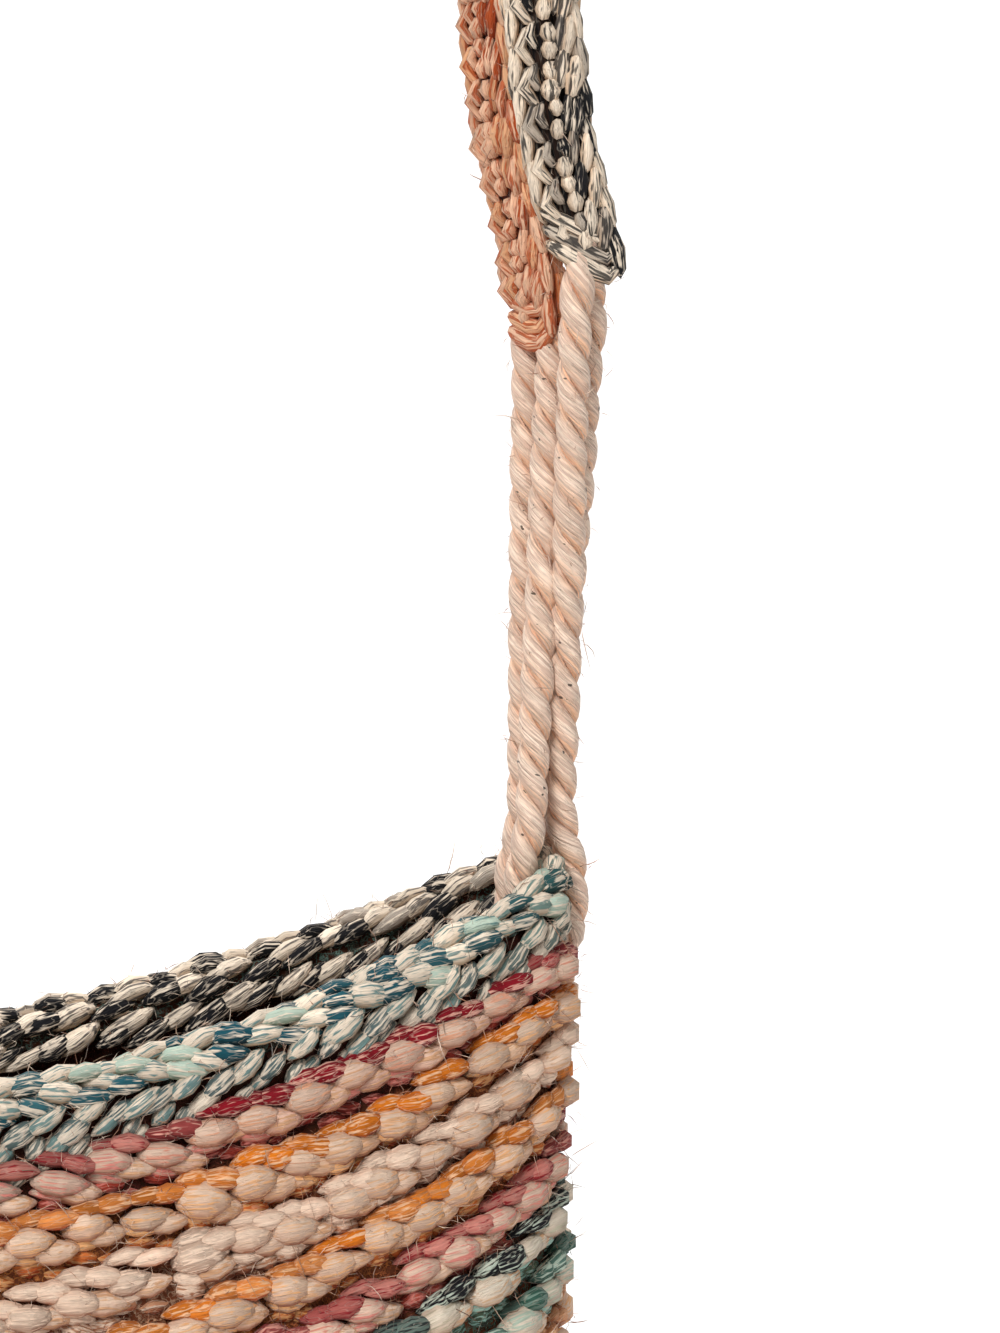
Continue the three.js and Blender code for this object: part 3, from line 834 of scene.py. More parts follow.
def row_stitches(yarn, row):
    """One round of stitches. Each has a pale leaf along the row, a second pale leaf under its tip and a
    dyed ply over it, and two plies sunk aslant in the groove below. A round of pale yarn only has two
    plump puffs instead. The upper rows, which show most, have two more plies at the edges. Along the row
    a ply goes on evenly, across it sinks a little, and off the wall it swells by a sine and ends on top
    of the next one."""
    count = stitches_in((row + 0.5) / ROW_COUNT)
    fine = row >= FIRST_FINE_ROW
    steps, sides = (7, 6) if fine else (6, 5)
    order = np.arange(count)[:, None] + 0.37 * row
    coloured, pale, fuzz = row_yarn(row, order[:, 0] / count)
    strong = wander(count, 3)
    start = order + jitter(count, 0.12) + 0.09 * np.sin(order * 0.9 + row * 1.7)
    drift = jitter(count, 0.06) + 0.05 * np.sin(order * 0.7 + row * 2.1)
    slant = jitter(count, 0.15)
    bulk = 1 + chance.uniform(-0.18, 0.16, (count, 1))
    t = leaf_steps(steps)[None]

    def laid(first, length, up_from, up_to, swell, sink, over, steps=t):
        along = start + first + jitter(count, 0.05) + length * (1 + jitter(count, 0.08)) * steps
        arch = (0.03 + jitter(count, 0.06)) * np.sin(math.pi * steps)
        up = up_from + drift + jitter(count, 0.03) + (up_to - up_from + slant) * steps + arch
        out = swell * bulk * np.sin(math.pi * steps) ** 0.7 - sink + over * steps + jitter(count, 0.4)
        at = np.clip((row + 0.5 + up) / ROW_COUNT, 0, 1)
        return wall_place(at, along / count, out)

    def size(middle):
        return middle * bulk[:, 0] * (1 + chance.uniform(-0.12, 0.12, count))

    leaf = leaf_profile(t, 0.66, 0.5)
    plump = leaf_profile(t, 0.58, 0.35)
    slim = leaf_profile(t, 0.8, 0.1)
    tip = t[0][:, None]
    hue = chance.uniform(0.72, 0.96, (count, 1, 1))
    # Painted shade: each pale ply is painted darker towards its tip, where the next stitch lies over it; it
    # also fades towards the fuzz colour there, and hue is a random tone for each stitch.
    pale_tints = pale[:, None] * (1 - 0.25 * tip) + fuzz[:, None] * 0.25 * tip
    pale_tints = pale_tints * (1 - 0.35 * tip**3) * hue
    patch = np.clip(0.28 + 1.4 * strong, 0, 1)
    faded = between(fuzz, pale, 0.3 * (1 - patch))
    shown = between(faded, coloured, patch) * chance.uniform(0.75, 1.1, (count, 1))
    upper = between(shown, coloured, 0.4 * patch) * chance.uniform(0.7, 1, (count, 1))
    under = between(pale, fuzz, 0.35 * strong) * chance.uniform(0.8, 1, (count, 1))
    marl = between(coloured, between(fuzz, pale, 0.4 * patch), patch > 0.6)

    def ply(place, wide, deep, tint, second, amount, profile):
        paths, normals = laid(*place)
        yarn.add(paths, normals, size(wide), size(deep), tint, second, size(amount), profile, sides)

    # Painted shade: the plies that lie lower in a stitch (the puff below and the low edges) get their tints
    # darkened a little, by 0.97 or 0.9.
    is_puffy = np.allclose(coloured, pale)
    if is_puffy:
        ply(PUFF, 3.4, 2.6, pale_tints, WARM_SHADE, 0.35, plump)
        ply(PUFF_BELOW, 3.1, 2.4, pale_tints * 0.97, WARM_SHADE, 0.35, plump)
        if fine:
            ply(PUFF_TOP_EDGE, 1.8, 1.5, under, WARM_SHADE, 0.5, slim)
            ply(PUFF_LOW_EDGE, 1.9, 1.6, under * 0.9, WARM_SHADE, 0.5, slim)
    else:
        ply(LEAF, 2.7, 2.2, pale_tints, between(fuzz, WARM_SHADE, strong), 0.3, leaf)
        ply(LEAF_BELOW, 2.4, 1.9, under, WARM_SHADE, 0.4, leaf)
        ply(DYED, 2.0, 1.8, shown, marl, 0.3, slim)
        if fine:
            ply(DYED_TOP_EDGE, 1.8, 1.7, upper, marl, 0.3, slim)
            ply(LEAF_LOW_EDGE, 1.7, 1.4, under * 0.9, fuzz, 0.7, slim)
    short = leaf_steps(5)[None]
    # Painted shade: the plies sunk in the groove below are painted darker and warmer, their colour raised to
    # a power, tinted by the sunken shade colour and dimmed at random, for the shade between rows.
    shaded_sunken = between(fuzz, shown, 0.5 * strong) ** 1.3 * SUNKEN_PAINTED_SHADE
    for first, up, sink in [(0.0, -0.36, 2.0), (0.5, -0.5, 2.3)]:
        up_from = up + jitter(count, 0.08)
        up_to = up - 0.16 + jitter(count, 0.2)
        paths, normals = laid(first, 0.7, up_from, up_to, 0.7, sink, 0, short)
        wide, deep = size(2.1), size(1.7)
        tint = shaded_sunken * chance.uniform(0.55, 1, (count, 1))
        yarn.add(paths, normals, wide, deep, tint, fuzz * 0.9, size(0.45), leaf_profile(short, 0.6, 0), 5)


def body_rows():
    """The rows in four pieces. Long and short loose fibres for each row are the last two numbers."""
    groups = [
        (0, 7, "body_rows_low", 120, 350),
        (7, 12, "body_rows_middle", 150, 400),
        (12, 17, "body_rows_high", 450, 1300),
        (17, ROW_COUNT, "body_rows_top", 560, 2060),
    ]
    for first, last, name, long_fibres, short_fibres in groups:
        yarn = Yarn()
        for row in range(first, last):
            row_stitches(yarn, row)
        yarn.piece(name, BODY_WOOL, "body_yarn")
        rows = last - first
        yarn.hairs("fuzz_" + name, long_fibres * rows, short_fibres * rows, 5.4, "body_yarn")


def wall_core():
    """The dense inside of the knitting, seen only as shade in the grooves: a shell in the middle of the
    wall, painted a dark shade brown with threads coloured by row, both dimmed further under the rim."""
    turns = np.linspace(0, 1, 132, endpoint=False)[:, None]
    shares = np.linspace(0, 1, 2 * ROW_COUNT + 1)[None]
    turns, shares = turns + 0 * shares, shares + 0 * turns
    points, _ = wall_place(shares, turns, 0 * turns)
    thickness = wall_thickness(shares, points)
    outer, _ = wall_place(shares, turns, -0.17 * thickness)
    inner, _ = wall_place(shares, turns, -0.7 * thickness)
    outer[:, -1, 2] += RIM_HALF_HEIGHT
    inner[:, -1, 2] += RIM_HALF_HEIGHT

    def both_faces(front, back):
        return np.concatenate([front, back[:, ::-1]], axis=1)

    rows = np.clip((shares[0] * ROW_COUNT).astype(int), 0, ROW_COUNT - 1)
    fuzz = np.stack([row_yarn(row, turns[:, 0])[2] for row in rows], axis=1)
    fuzz = both_faces(fuzz, fuzz)
    dim = np.where(shares > 0.95, UNDER_RIM_PAINTED_SHADE, GROOVE_PAINTED_SHADE)[..., None]
    dim = both_faces(dim, dim)
    rings = both_faces(outer, inner)
    shell("body_core", rings, TANGLE, "body_yarn", SHADE_BROWN * dim, fuzz**1.5 * dim, "bag_wall")


def lining():
    """The inside of the wall: one plump puff for each stitch of each row, which swells inward by a
    sine."""
    yarn = Yarn()
    t = leaf_steps(5)[None]
    for row in range(1, ROW_COUNT):
        count = stitches_in((row + 0.5) / ROW_COUNT)
        start = np.arange(count)[:, None] + 0.37 * row
        coloured, pale, fuzz = row_yarn(row, start[:, 0] / count)
        tint = between(pale, coloured, 0.8 * (wander(count, 3) > 0.66))
        along = start + 0.95 * (t - 0.5) + jitter(count, 0.08)
        at = np.clip((row + 0.5 + jitter(count, 0.1) + 0 * along) / ROW_COUNT, 0, 1)
        flat, normals = wall_place(at, along / count, 0 * along)
        depth = wall_thickness(at, flat)
        paths, _ = wall_place(at, along / count, -depth + 1.4 - 1.2 * np.sin(math.pi * t))
        yarn.add(paths, -normals, 3.6, 1.7, tint, fuzz, 0.4, leaf_profile(t, 0.4, 0), sides=5)
    yarn.piece("lining", BODY_WOOL, "body_yarn")


# Rim
TOP_LEVEL_RISE = 1 - WALL_LEVELS["height"][-2]
TOP_LEVEL_SHARE = 1 - WALL_LEVELS["share"][-2]
RISE_PER_SHARE = MOUTH_HEIGHT * TOP_LEVEL_RISE / TOP_LEVEL_SHARE


def edge_place(turn, drop, out, inside):
    """Point drop millimetres under the rim's middle on the outer face, or on the inner one where inside
    is 1, and the direction off it. Above the wall's top it stays straight over it."""
    share = 1 - np.maximum(drop - EDGE_HEIGHT, 0) / RISE_PER_SHARE
    flat, _ = wall_place(share, turn, 0 * turn)
    way = 1 - 2 * inside
    point, normal = wall_place(share, turn, way * out - inside * wall_thickness(share, flat))
    point[..., 2] += EDGE_HEIGHT - np.minimum(drop, EDGE_HEIGHT)
    return point, way * normal


# Share of the legs that change their yarn, and how narrow the corner and its peak are
CHANGED_LEGS = 0.2
CORNER_POWER = 24
PEAK_POWER = 900


def rim_chain():
    """The chain edge. Each stitch has seven legs over the roll, three pale and four dark, that slant to
    both sides like a V and swell by a sine. Under them six lobes hang on the outer face, sunk deeper and
    painted darker as shade the lower they lie, and on the inner face two slanting lobes lie over two plump
    puffs, the lower puff painted a little darker."""
    yarn = Yarn(RIM_SHADE)
    count = int(round(ROUND_LENGTHS[-1] / STITCH_PITCH))
    order = np.arange(count)[:, None] * 1.0
    start = order + jitter(count, 0.1) + 0.12 * np.sin(order * 0.8)
    t = leaf_steps(7)[None]
    turn = order[:, 0] / count
    behind = smooth_step(np.sin(turn * FULL_TURN), -0.12, 0.12)[:, None]
    near_corner = np.abs(np.cos(turn * FULL_TURN))[:, None] ** CORNER_POWER
    at_peak = np.abs(np.cos(turn * FULL_TURN))[:, None] ** PEAK_POWER
    bulk = chance.uniform(0.82, 1.18, count)
    bright = chance.uniform(0.86, 1.04, (count, 1))
    front_dark = between(TEAL, PALE_TEAL, 0.12 * wander(count, 4)) * (1 - 0.8 * near_corner)
    front_dark = front_dark + GREEN * 0.5 * near_corner
    back_dark = between(BLACK, GREY, chance.uniform(0, 1, count) > 0.9)
    dark = front_dark * (1 - behind) + back_dark * behind
    dark = dark * (1 - at_peak) + BLACK * at_peak
    wisp = PALE_TEAL * (1 - behind) + GREY * behind
    light = CREAM * bright
    soft = between(light, wisp, 0.35)
    marl = between(dark, wisp, 0.25)
    black_gap = (wander(count, 6) > 0.62)[:, None]

    def ply(paths, normals, wide, deep, tint, amount, blunt):
        wide = wide * bulk * chance.uniform(0.86, 1.14, count)
        tint = tint * chance.uniform(0.86, 1.06, (count, 1))
        second = np.where(tint.mean(axis=1, keepdims=True) > 0.5, marl, light * 0.9)
        profile = leaf_profile(t, blunt, 0.25)
        yarn.add(paths, normals, wide, deep * bulk, tint, second, amount, profile, sides=6)

    def leg(first, length, roll_from, roll_to, swell, sink, wide, deep, tint, amount):
        changed = chance.uniform(0, 1, count) < CHANGED_LEGS
        tint = between(tint, between(light, wisp, 0.7 * (tint.mean(axis=1) < 0.5)), changed)
        along = start + first + length * (1 + jitter(count, 0.12)) * t + jitter(count, 0.12)
        roll = roll_from + (roll_to - roll_from + jitter(count, 14)) * t + jitter(count, 9)
        out = swell * np.sin(math.pi * t) ** 0.7 - sink + jitter(count, 0.35)
        paths, normals = rim_place(along / count, roll, out)
        ply(paths, normals, wide, deep, tint, amount, 0.75)

    def lobe(first, length, drop_from, drop_to, swell, sink, wide, deep, tint, amount, inside=0):
        along = start + first + (length + jitter(count, 0.18)) * t + jitter(count, 0.14)
        drop = drop_from + (drop_to - drop_from) * (1 + jitter(count, 0.25)) * t + jitter(count, 0.8)
        out = swell * np.sin(math.pi * t) ** 0.7 - sink + jitter(count, 0.4) + 0 * along
        paths, normals = edge_place(along / count, drop, out, inside)
        ply(paths, normals, wide, deep, tint, amount, 0.7)

    leg(-0.08, 1.1, 104, 138, 1.2, 1.7, 2.0, 1.7, light, 0.3)
    leg(0.4, 1.06, 128, 158, 1.4, 1.5, 2.0, 1.6, dark, 0.2)
    leg(0.35, 1.04, 96, 74, 1.4, 1.5, 2.0, 1.6, dark, 0.25)
    leg(-0.08, 1.1, 62, 84, 1.4, 1.4, 2.05, 1.8, light, 0.3)
    leg(0.38, 1.06, 62, 42, 1.6, 1.0, 2.0, 1.7, dark, 0.25)
    leg(-0.08, 1.08, 44, 22, 1.5, 1.2, 2.1, 1.8, light, 0.35)
    leg(0.4, 1.06, 30, 2, 1.6, 1.0, 2.0, 1.7, dark, 0.3)
    # Painted shade: the outer lobes' tints are multiplied down from 0.94 to 0.45 the lower they hang under
    # the rim.
    lobe(0.45, -0.8, -0.6, 3.2, 1.6, 0.8, 2.0, 1.7, light * 0.94, 0.4)
    lobe(0.98, -0.7, 1.0, 5.0, 1.3, 0.9, 1.8, 1.5, between(soft, dark, 0.8) * 0.8, 0.45)
    lobe(0.7, -0.6, 3.2, 6.8, 1.0, 1.2, 1.8, 1.5, light * 0.8, 0.5)
    lobe(0.15, -0.5, 4.4, 8.4, 0.9, 1.3, 1.7, 1.5, between(soft, dark, 0.6) * 0.6, 0.5)
    lobe(0.4, -0.5, 6.4, 9.8, 0.6, 1.6, 1.7, 1.5, soft * 0.5, 0.6)
    lobe(0.85, -0.4, 7.0, 11.0, 0.6, 1.8, 1.7, 1.5, between(soft, dark, 0.3) * 0.45, 0.6)
    lobe(0.0, 1.05, -1.4, 2.0, 1.4, 0.7, 2.0, 1.7, light, 0.3, inside=1)
    lobe(0.5, 1.0, -0.4, 3.0, 1.5, 0.6, 1.9, 1.6, dark, 0.3, inside=1)
    puff = between(light * 0.95, BLACK * 1.2, black_gap)
    lobe(0.06, 0.88, 5.6, 5.8, 1.5, 0.9, 2.5, 2.2, puff, 0.2, inside=1)
    lobe(0.06, 0.88, 9.6, 9.8, 1.5, 1.0, 2.4, 2.2, puff * 0.9, 0.2, inside=1)
    yarn.piece("rim_chain", RIM_WOOL, "rim_yarn")
    yarn.hairs("fuzz_rim", 1400, 4200, 4.6, "rim_yarn")
    turns = np.linspace(0, 1, 180, endpoint=False)[:, None]
    rolls = np.linspace(360, 0, 10, endpoint=False)[None]
    rings, _ = rim_place(turns + 0 * rolls, rolls + 0 * turns, -1.5 + 0 * (turns + rolls))
    # Painted shade: the rim's core is painted a near-black shade brown, with teal threads dimmed to half,
    # for the shade inside the roll.
    fuzz = np.broadcast_to(PALE_TEAL * 0.5, rings.shape)
    shell("rim_core", rings[:, ::-1], TANGLE, "rim_yarn", SHADE_BROWN * 0.25, fuzz, "rim_edging")


# Base
FIRST_BASE_ROUND = 3.2
BASE_ROUND_STEP = 5.2
SMALLEST_BASE_ROUND = 2
BASE_YARN_HEIGHT = 2.6


def base_rounds():
    """The flat base: ovals of stitches, one inside the other, on a solid plate. A ply follows its oval
    and swells downward by a sine."""
    yarn = Yarn()
    t = leaf_steps(6)[None]
    inset = FIRST_BASE_ROUND
    while inset < BASE_HALF_DEPTH - SMALLEST_BASE_ROUND:
        a, b = BASE_HALF_WIDTH - inset, BASE_HALF_DEPTH - inset
        length = math.pi * (3 * (a + b) - math.sqrt((3 * a + b) * (a + 3 * b)))
        count = int(round(length / STITCH_PITCH))
        fine = np.linspace(0, FULL_TURN, 721)
        oval = np.stack([a * np.cos(fine), b * np.sin(fine)], 1)
        run = np.concatenate([[0], np.cumsum(np.linalg.norm(np.diff(oval, axis=0), axis=1))])
        for first, shift, tint in [(0, -1.3, PINK_CREAM), (0.4, 1.3, GREEN)]:
            along = (np.arange(count)[:, None] + first + 1.1 * t) / count % 1
            angle = np.interp(along * run[-1], run, fine)
            x, y = (a + shift) * np.cos(angle), (b + shift) * np.sin(angle)
            z = BASE_YARN_HEIGHT - 0.9 * np.sin(math.pi * t) + 0 * x
            paths = np.stack([x, y, z], axis=-1)
            down = np.broadcast_to([0.0, 0.0, -1.0], paths.shape)
            tints = tint * chance.uniform(0.85, 1.05, (count, 1))
            yarn.add(paths, down, 2.0, 1.6, tints, CREAM, 0.4, leaf_profile(t, 0.6, 0.3), sides=6)
        inset += BASE_ROUND_STEP
    yarn.piece("base_rounds", BODY_WOOL, "body_yarn")
    plate()


def plate():
    """The solid middle of the base: an oval disc with a rounded edge. A section's point is a share of the
    oval's reach and a height, and the first and last ones almost meet in the middle."""
    sections = np.array([(0.02, 2.6), (0.9, 2.6), (1, 3.4), (1, 6.6), (0.9, 7.6), (0.02, 7.6)])
    angle = np.linspace(0, FULL_TURN, 96, endpoint=False)[:, None]
    reach = (BASE_HALF_WIDTH - 1.5, BASE_HALF_DEPTH - 1.5)
    x = reach[0] * sections[:, 0] * np.cos(angle)
    y = reach[1] * sections[:, 0] * np.sin(angle)
    rings = np.stack([x, y, sections[:, 1] + 0 * x], axis=-1)
    # Painted shade: the plate is painted the dark shade brown, with teal threads dimmed to half.
    shell("base_plate", rings, TANGLE, "body_yarn", SHADE_BROWN, PALE_TEAL * 0.5, "base_panel")


# Cords
def cord_line(side, rank):
    """Middle line of one cord: from inside the rust band down into the mouth, out through the eyelet in
    two quarter bends that slant back, and up to the dark band."""
    rust, rust_across, _ = band_frame(RUST_BAND, np.array([RUST_START]))
    dark, _, _ = band_frame(DARK_BAND, np.array([DARK_START]))
    half = CORD_SPACING / 2
    y = rank * half
    inner_top = rust[0] + rust_across[0] * y - [0, 0, CORD_GAP_UNDER_RUST]
    outer_top = np.array([
        dark[0][0] - OUTER_TOP["inward"] + rank * OUTER_TOP["step_out"],
        rank * OUTER_TOP["step_back"] - OUTER_TOP["forward"],
        dark[0][2] - CORD_GAP_UNDER_DARK,
    ])
    inner_x = BAG_WIDTH / 2 - WALL_THICKNESS_AT_EYELET - CORD_OFF_INNER_FACE - CORD_DIAMETER / 2
    outer_x = BAG_WIDTH / 2 + CORD_OFF_OUTER_FACE + CORD_DIAMETER / 2 - OUTER_PAIR_IN
    meet_x = (inner_x + outer_x) / 2
    meet = CORNER_HEIGHT + CORDS_MEET_ABOVE_MOUTH
    low = CORNER_HEIGHT - EYELET_BELOW_MOUTH + CORD_BEND_RADIUS
    straight = CORNER_HEIGHT + CORDS_STRAIGHT_ABOVE_MOUTH
    points = [inner_top + [0, 0, SUNK_IN_RUST], inner_top, (meet_x - half, y, meet), (inner_x, y, straight)]
    bends = [
        (inner_x + CORD_BEND_RADIUS, -1, range(0, 91, 30)),
        (outer_x - CORD_BEND_RADIUS, 1, range(90, -1, -30)),
    ]
    for x, out, turns in bends:
        for turn in np.radians(list(turns)):
            there = x + out * CORD_BEND_RADIUS * math.cos(turn)
            back = OUTER_PAIR_BACK * (there - inner_x) / (outer_x - inner_x)
            points.append((there, y + back, low - CORD_BEND_RADIUS * math.sin(turn)))
    back = y + OUTER_PAIR_BACK
    inside, across, _ = band_frame(DARK_BAND, np.array([DARK_START + SUNK_IN_DARK]))
    outer_end = inside[0] + across[0] * rank * OUTER_END_STEP
    points += [(outer_x, back, straight), (meet_x + half, back, meet), outer_top, outer_end]
    return np.array(points) * [side, 1, 1]


def cord(name, side, rank):
    """Two plies that wind round the cord's middle line, one turn in every cord pitch, with a slow random
    change of the winding and of the thickness."""
    line = cord_line(side, rank)
    run = np.concatenate([[0], np.cumsum(np.linalg.norm(np.diff(line, axis=0), axis=1))])
    at = np.linspace(0, run[-1], int(run[-1] / CORD_STEP))
    path = np.stack([np.interp(at, run, line[:, k]) for k in range(3)], axis=1)
    kernel = np.array([1, 2, 3, 2, 1]) / 9
    for k in range(3):
        path[2:-2, k] = np.convolve(path[:, k], kernel, mode="valid")
    tangent = unit(np.gradient(path, axis=0))
    across = unit(np.cross(tangent, [0, 1, 0]))
    other = np.cross(tangent, across)
    slow = np.sin(at / 9.7 + chance.uniform(0, 6)) + np.sin(at / 17 + chance.uniform(0, 6))
    yarn = Yarn(CORD_SHADE)
    for ply in range(2):
        angle = -(at / CORD_PITCH + ply / 2 + 0.23 * rank + 0.04 * slow) * FULL_TURN
        spoke = across * np.cos(angle)[:, None] + other * np.sin(angle)[:, None]
        middle = path + spoke * PLY_OFF_MIDDLE
        uneven = np.sin(at / 5.3 + chance.uniform(0, 6)) + np.sin(at / 3.1 + chance.uniform(0, 6))
        profile = 1 + 0.04 * uneven
        profile[[1, -2]] = 0.7
        tint = PEACH * chance.uniform(0.96, 1.06)
        yarn.add(middle[None], spoke[None], 2.0, 1.45, tint, RUST * 0.3 + PEACH * 0.6, 0.5, profile, sides=9)
    node = "cord_" + name
    yarn.piece("twisted_" + node, CORD_SILK, "cord", node)
    yarn.hairs("fuzz_" + name, 80, 240, 4.0, "cord")


# Strap bands
ROUNDED_END = 0.7
BAND_STITCH = 6.4
BAND_HALF = BAND_WIDTH / 2


def band(name, levels, start_share, end_slant, light, dark, wisp, dark_side, painted_shade_tint, slot, node):
    """A band of crochet: for each stitch two long loops on both edges, and on both faces two loops bowed
    like a C on the near side of two bobbles and two slanting ones on the far side. across and lift are in
    millimetres in the band's own section, and a loop swells off the face by a sine. dark_side says how
    much more of the dark yarn shows on the far half of the width, end_slant how much higher the band's
    end lies on the near edge than on the far one."""
    yarn = Yarn(painted_shade_tint)
    count = int(round(STRAP_LENGTH * (1 - start_share) / BAND_STITCH))
    ways = np.linspace(start_share, 2 - start_share, count + 1)
    step = ways[1] - ways[0]
    start = ways[:-1, None]
    t = leaf_steps(5)[None]
    bulk = chance.uniform(0.85, 1.15, count)
    slant = end_slant / BAND_WIDTH * 2 / STRAP_LENGTH

    def loop(first, length, across, across_to, lift, bow, size, tint, amount, belly=0.0):
        along = start + step * (first + length * t + jitter(count, 0.09))
        limit = start_share + slant * (BAND_HALF - (across + across_to) / 2)
        inside = np.minimum(along, 2 - along).min(axis=1) > limit
        middle, over, thick = band_frame(levels, along)
        reach = across + (across_to - across) * t + belly * np.sin(math.pi * t) + jitter(count, 0.3)
        height = lift + np.sign(lift + 0.01) * bow * np.sin(math.pi * t) + jitter(count, 0.2)
        paths = middle - over * reach[..., None] + thick * height[..., None]
        normals = unit(thick * (np.sign(lift) + 0 * along)[..., None] - over * (reach / 7)[..., None])
        wide = (size * bulk * chance.uniform(0.9, 1.1, count))[inside]
        second = np.where(tint.mean(axis=1, keepdims=True) > 0.4, dark, light)[inside]
        amount = amount * chance.uniform(0.0, 0.9, count)[inside]
        profile = leaf_profile(t, 0.5, 0.1)
        yarn.add(paths[inside], normals[inside], wide, wide, tint[inside], second, amount, profile, sides=5)

    def mottled(weight):
        share = np.clip(wander(count, 5) * weight + chance.uniform(-0.3, 0.3, count), 0, 1)
        mixed = between(light, wisp, 0.5 * (share > 0.45))
        return between(mixed, dark, share > 0.66) * chance.uniform(0.88, 1.08, (count, 1))

    for edge in (-1, 1):
        weight = 0.3 if edge < 0 else 0.4 + dark_side
        loop(-0.15, 1.4, edge * 4.9, edge * 5.3, 0.9, 0.4, 1.5, mottled(weight), weight)
        loop(0.35, 1.35, edge * 5.3, edge * 4.7, -0.9, 0.4, 1.5, mottled(weight), weight)
    for face in (-1, 1):
        loop(-0.1, 1.15, -1.6, -1.9, face * 1.6, 1.0, 1.35, mottled(0.3), 0.5, -2.6)
        loop(0.3, 0.75, -1.3, -1.5, face * 1.7, 0.7, 1.25, mottled(0.8), 0.7, -1.3)
        loop(0.08, 0.56, 0.0, 0.5, face * 1.9, 1.0, 1.6, mottled(0.3), 0.4)
        loop(0.56, 0.54, 0.5, 0.2, face * 1.9, 0.8, 1.5, mottled(0.4), 0.4)
        loop(0.2, 1.15, 1.4, 3.0, face * 1.8, 0.9, 1.35, mottled(0.5 + dark_side), 0.8)
        loop(-0.05, 1.25, 2.8, 4.8, face * 1.6, 0.9, 1.45, mottled(0.4 + dark_side), 0.8)

    s = leaf_steps(8)
    reach = -5.6 + 10.9 * s
    raised = slant * (BAND_HALF - reach) + ROUNDED_END * np.maximum(reach - 2, 0) ** 2 / STRAP_LENGTH
    end_strands = [(0.0, 1.9, light), (0.4, 1.7, between(light, wisp, 0.4)[0]), (0.85, 1.5, light)]
    for end in (start_share, 2 - start_share):
        inward = 1 if end < 1 else -1
        for place, size, tint in end_strands:
            middle, over, thick = band_frame(levels, end + inward * (place * step + raised))
            for face in (-1, 1):
                height = face * (1.1 + 0.8 * np.sin(math.pi * s))
                paths = middle - over * reach[:, None] + thick * height[:, None]
                profile = leaf_profile(s[None], 0.3, 0)
                yarn.add(paths[None], face * thick[None], size, size, tint, dark, 0.5, profile)
    yarn.piece(name, BAND_YARN, slot)
    yarn.hairs("fuzz_" + name, 400, 1200, 3.6, slot)
    along = np.linspace(start_share + slant * BAND_HALF, 2 - start_share - slant * BAND_HALF, 240)
    middle, over, thick = band_frame(levels, along)
    core = Yarn()
    # Painted shade: the band's core, seen between its loops, is a mix of the two yarns painted down to 0.45,
    # with streaks of the dark yarn at 0.3.
    core_painted_shade = (light * 0.3 + dark * 0.7) * 0.45
    core.add(middle[None], thick[None], 4.7, 1.8, core_painted_shade, dark * 0.3, 0.5, np.ones(len(along)), sides=12)
    core.piece(name + "_core", BAND_YARN, slot, node)


body_rows()
wall_core()
lining()
rim_chain()
base_rounds()
for side_name, side in [("right", 1), ("left", -1)]:
    for rank_name, rank in [("front", -1), ("back", 1)]:
        cord(side_name + "_" + rank_name, side, rank)
band(
    "dark_band", DARK_BAND, DARK_START, end_slant=10, light=CREAM, dark=BLACK, wisp=GREY, dark_side=0.3,
    painted_shade_tint=DARK_BAND_SHADE, slot="dark_band_yarn", node="strap_dark_band",
)
band(
    "rust_band", RUST_BAND, RUST_START + 0.008, end_slant=3, light=RUST_BAND_PALE, dark=RUST_BAND_DEEP,
    wisp=APRICOT, dark_side=0.15, painted_shade_tint=RUST_BAND_SHADE, slot="rust_band_yarn", node="strap_rust_band",
)


# Floor, light and camera
FLOOR_DROP = 0.004
FOCAL_PIXELS = 3801.3
PICTURE_HEIGHT = 1333
CAMERA_PLACE = (-5.96, -609.57, 382.64)
CAMERA_TARGET = (131.02, 0.48, 263.52)


def in_scene(point):
    """A point in millimetres above the base, in metres in the shared frame."""
    return Vector((point[0], point[1], point[2] - HANG_HEIGHT)) * MM


def camera():
    """A camera at the place that fits the bag's corner, its cords and the curve of its rim."""
    data = bpy.data.cameras.new("camera")
    data.sensor_width = 36
    data.lens = FOCAL_PIXELS * data.sensor_width / PICTURE_HEIGHT
    data.clip_start, data.clip_end = 0.01, 50
    made = bpy.data.objects.new("camera", data)
    bpy.context.scene.collection.objects.link(made)
    made.location = in_scene(CAMERA_PLACE)
    look = in_scene(CAMERA_TARGET) - made.location
    made.rotation_euler = look.to_track_quat("-Z", "Y").to_euler()
    bpy.context.scene.camera = made


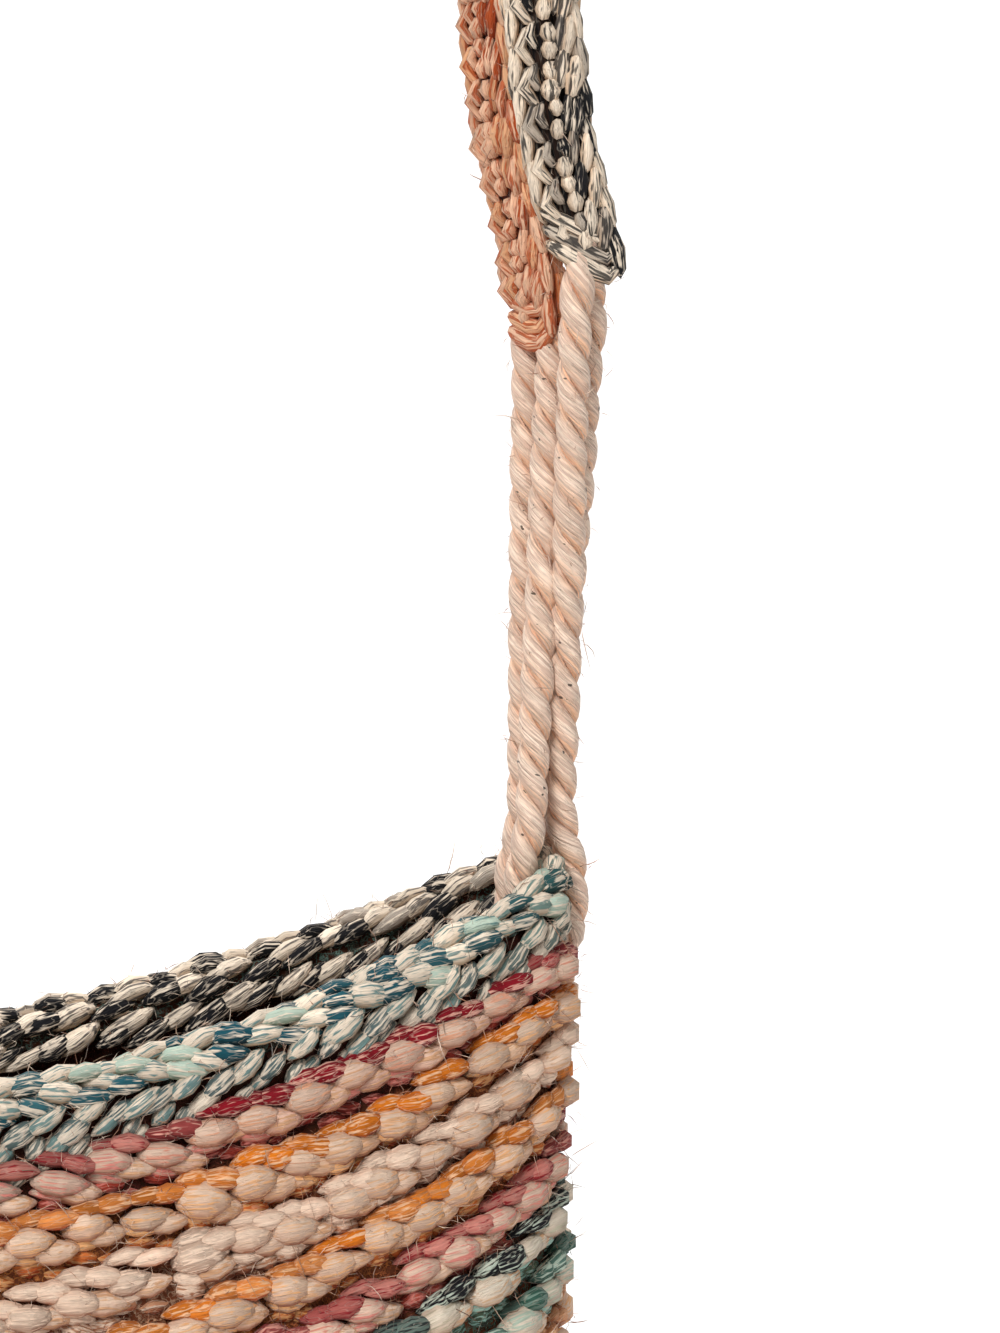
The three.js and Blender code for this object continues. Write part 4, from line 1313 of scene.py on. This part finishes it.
def floor():
    """A pale floor that curves up into a backdrop: a quarter circle between two straight runs. It is
    clear from behind, so that it hides nothing of the bag in a view from the back."""
    bend = np.radians(np.linspace(0, 90, 16))
    radius, back, front, top = 0.8, 1.4, -2.4, 3.2
    low = cad_low.z - FLOOR_DROP
    y = np.concatenate([[front], back + radius * np.sin(bend), [back + radius]])
    z = np.concatenate([[low], low + radius * (1 - np.cos(bend)), [low + top]])
    x = np.array([-3.0, 3.0])
    points = np.stack([np.repeat(x, len(y)), np.tile(y, 2), np.tile(z, 2)], axis=1)
    k = np.arange(len(y) - 1)
    quads = np.stack([k, k + len(y), k + len(y) + 1, k + 1], axis=1)
    mesh = bpy.data.meshes.new("floor")
    mesh.from_pydata(points.tolist(), [], quads.tolist())
    mesh.polygons.foreach_set("use_smooth", np.ones(len(quads), bool))
    made = bpy.data.objects.new("floor", mesh)
    bpy.context.scene.collection.objects.link(made)
    maker = Maker("floor_paper")
    paper = {"Base Color": (0.92, 0.92, 0.92, 1), "Roughness": 0.9}
    shader = maker.node("ShaderNodeBsdfPrincipled", None, paper)
    clear = maker.node("ShaderNodeBsdfTransparent")
    behind = maker.node("ShaderNodeNewGeometry").outputs["Backfacing"]
    one_sided = maker.node("ShaderNodeMixShader", None, [behind, shader.outputs[0], clear.outputs[0]])
    maker.node("ShaderNodeOutputMaterial", None, {"Surface": one_sided.outputs[0]})
    mesh.materials.append(maker.material)


def lamp(name, place, size, power, target=(0.1, 0, -0.4)):
    data = bpy.data.lights.new(name, "AREA")
    data.shape, data.size, data.energy = "SQUARE", size, power
    made = bpy.data.objects.new(name, data)
    bpy.context.scene.collection.objects.link(made)
    made.location = place
    made.rotation_euler = (Vector(target) - Vector(place)).to_track_quat("-Z", "Y").to_euler()


def lights():
    lamp("key", (-0.9, -1.3, 1.1), 0.7, 40)
    lamp("fill", (1.5, -1.3, 0.3), 1.4, 5)
    lamp("wall_wash", (0.2, 0.6, 1.6), 1.6, 46, (0.3, 2.2, -0.6))
    world = bpy.data.worlds.new("studio")
    world.use_nodes = True
    world.node_tree.nodes["Background"].inputs[0].default_value = (1, 1, 1, 1)
    world.node_tree.nodes["Background"].inputs[1].default_value = 0.2
    bpy.context.scene.world = world
    bpy.context.scene.view_settings.view_transform = "Standard"


floor()
lights()
camera()
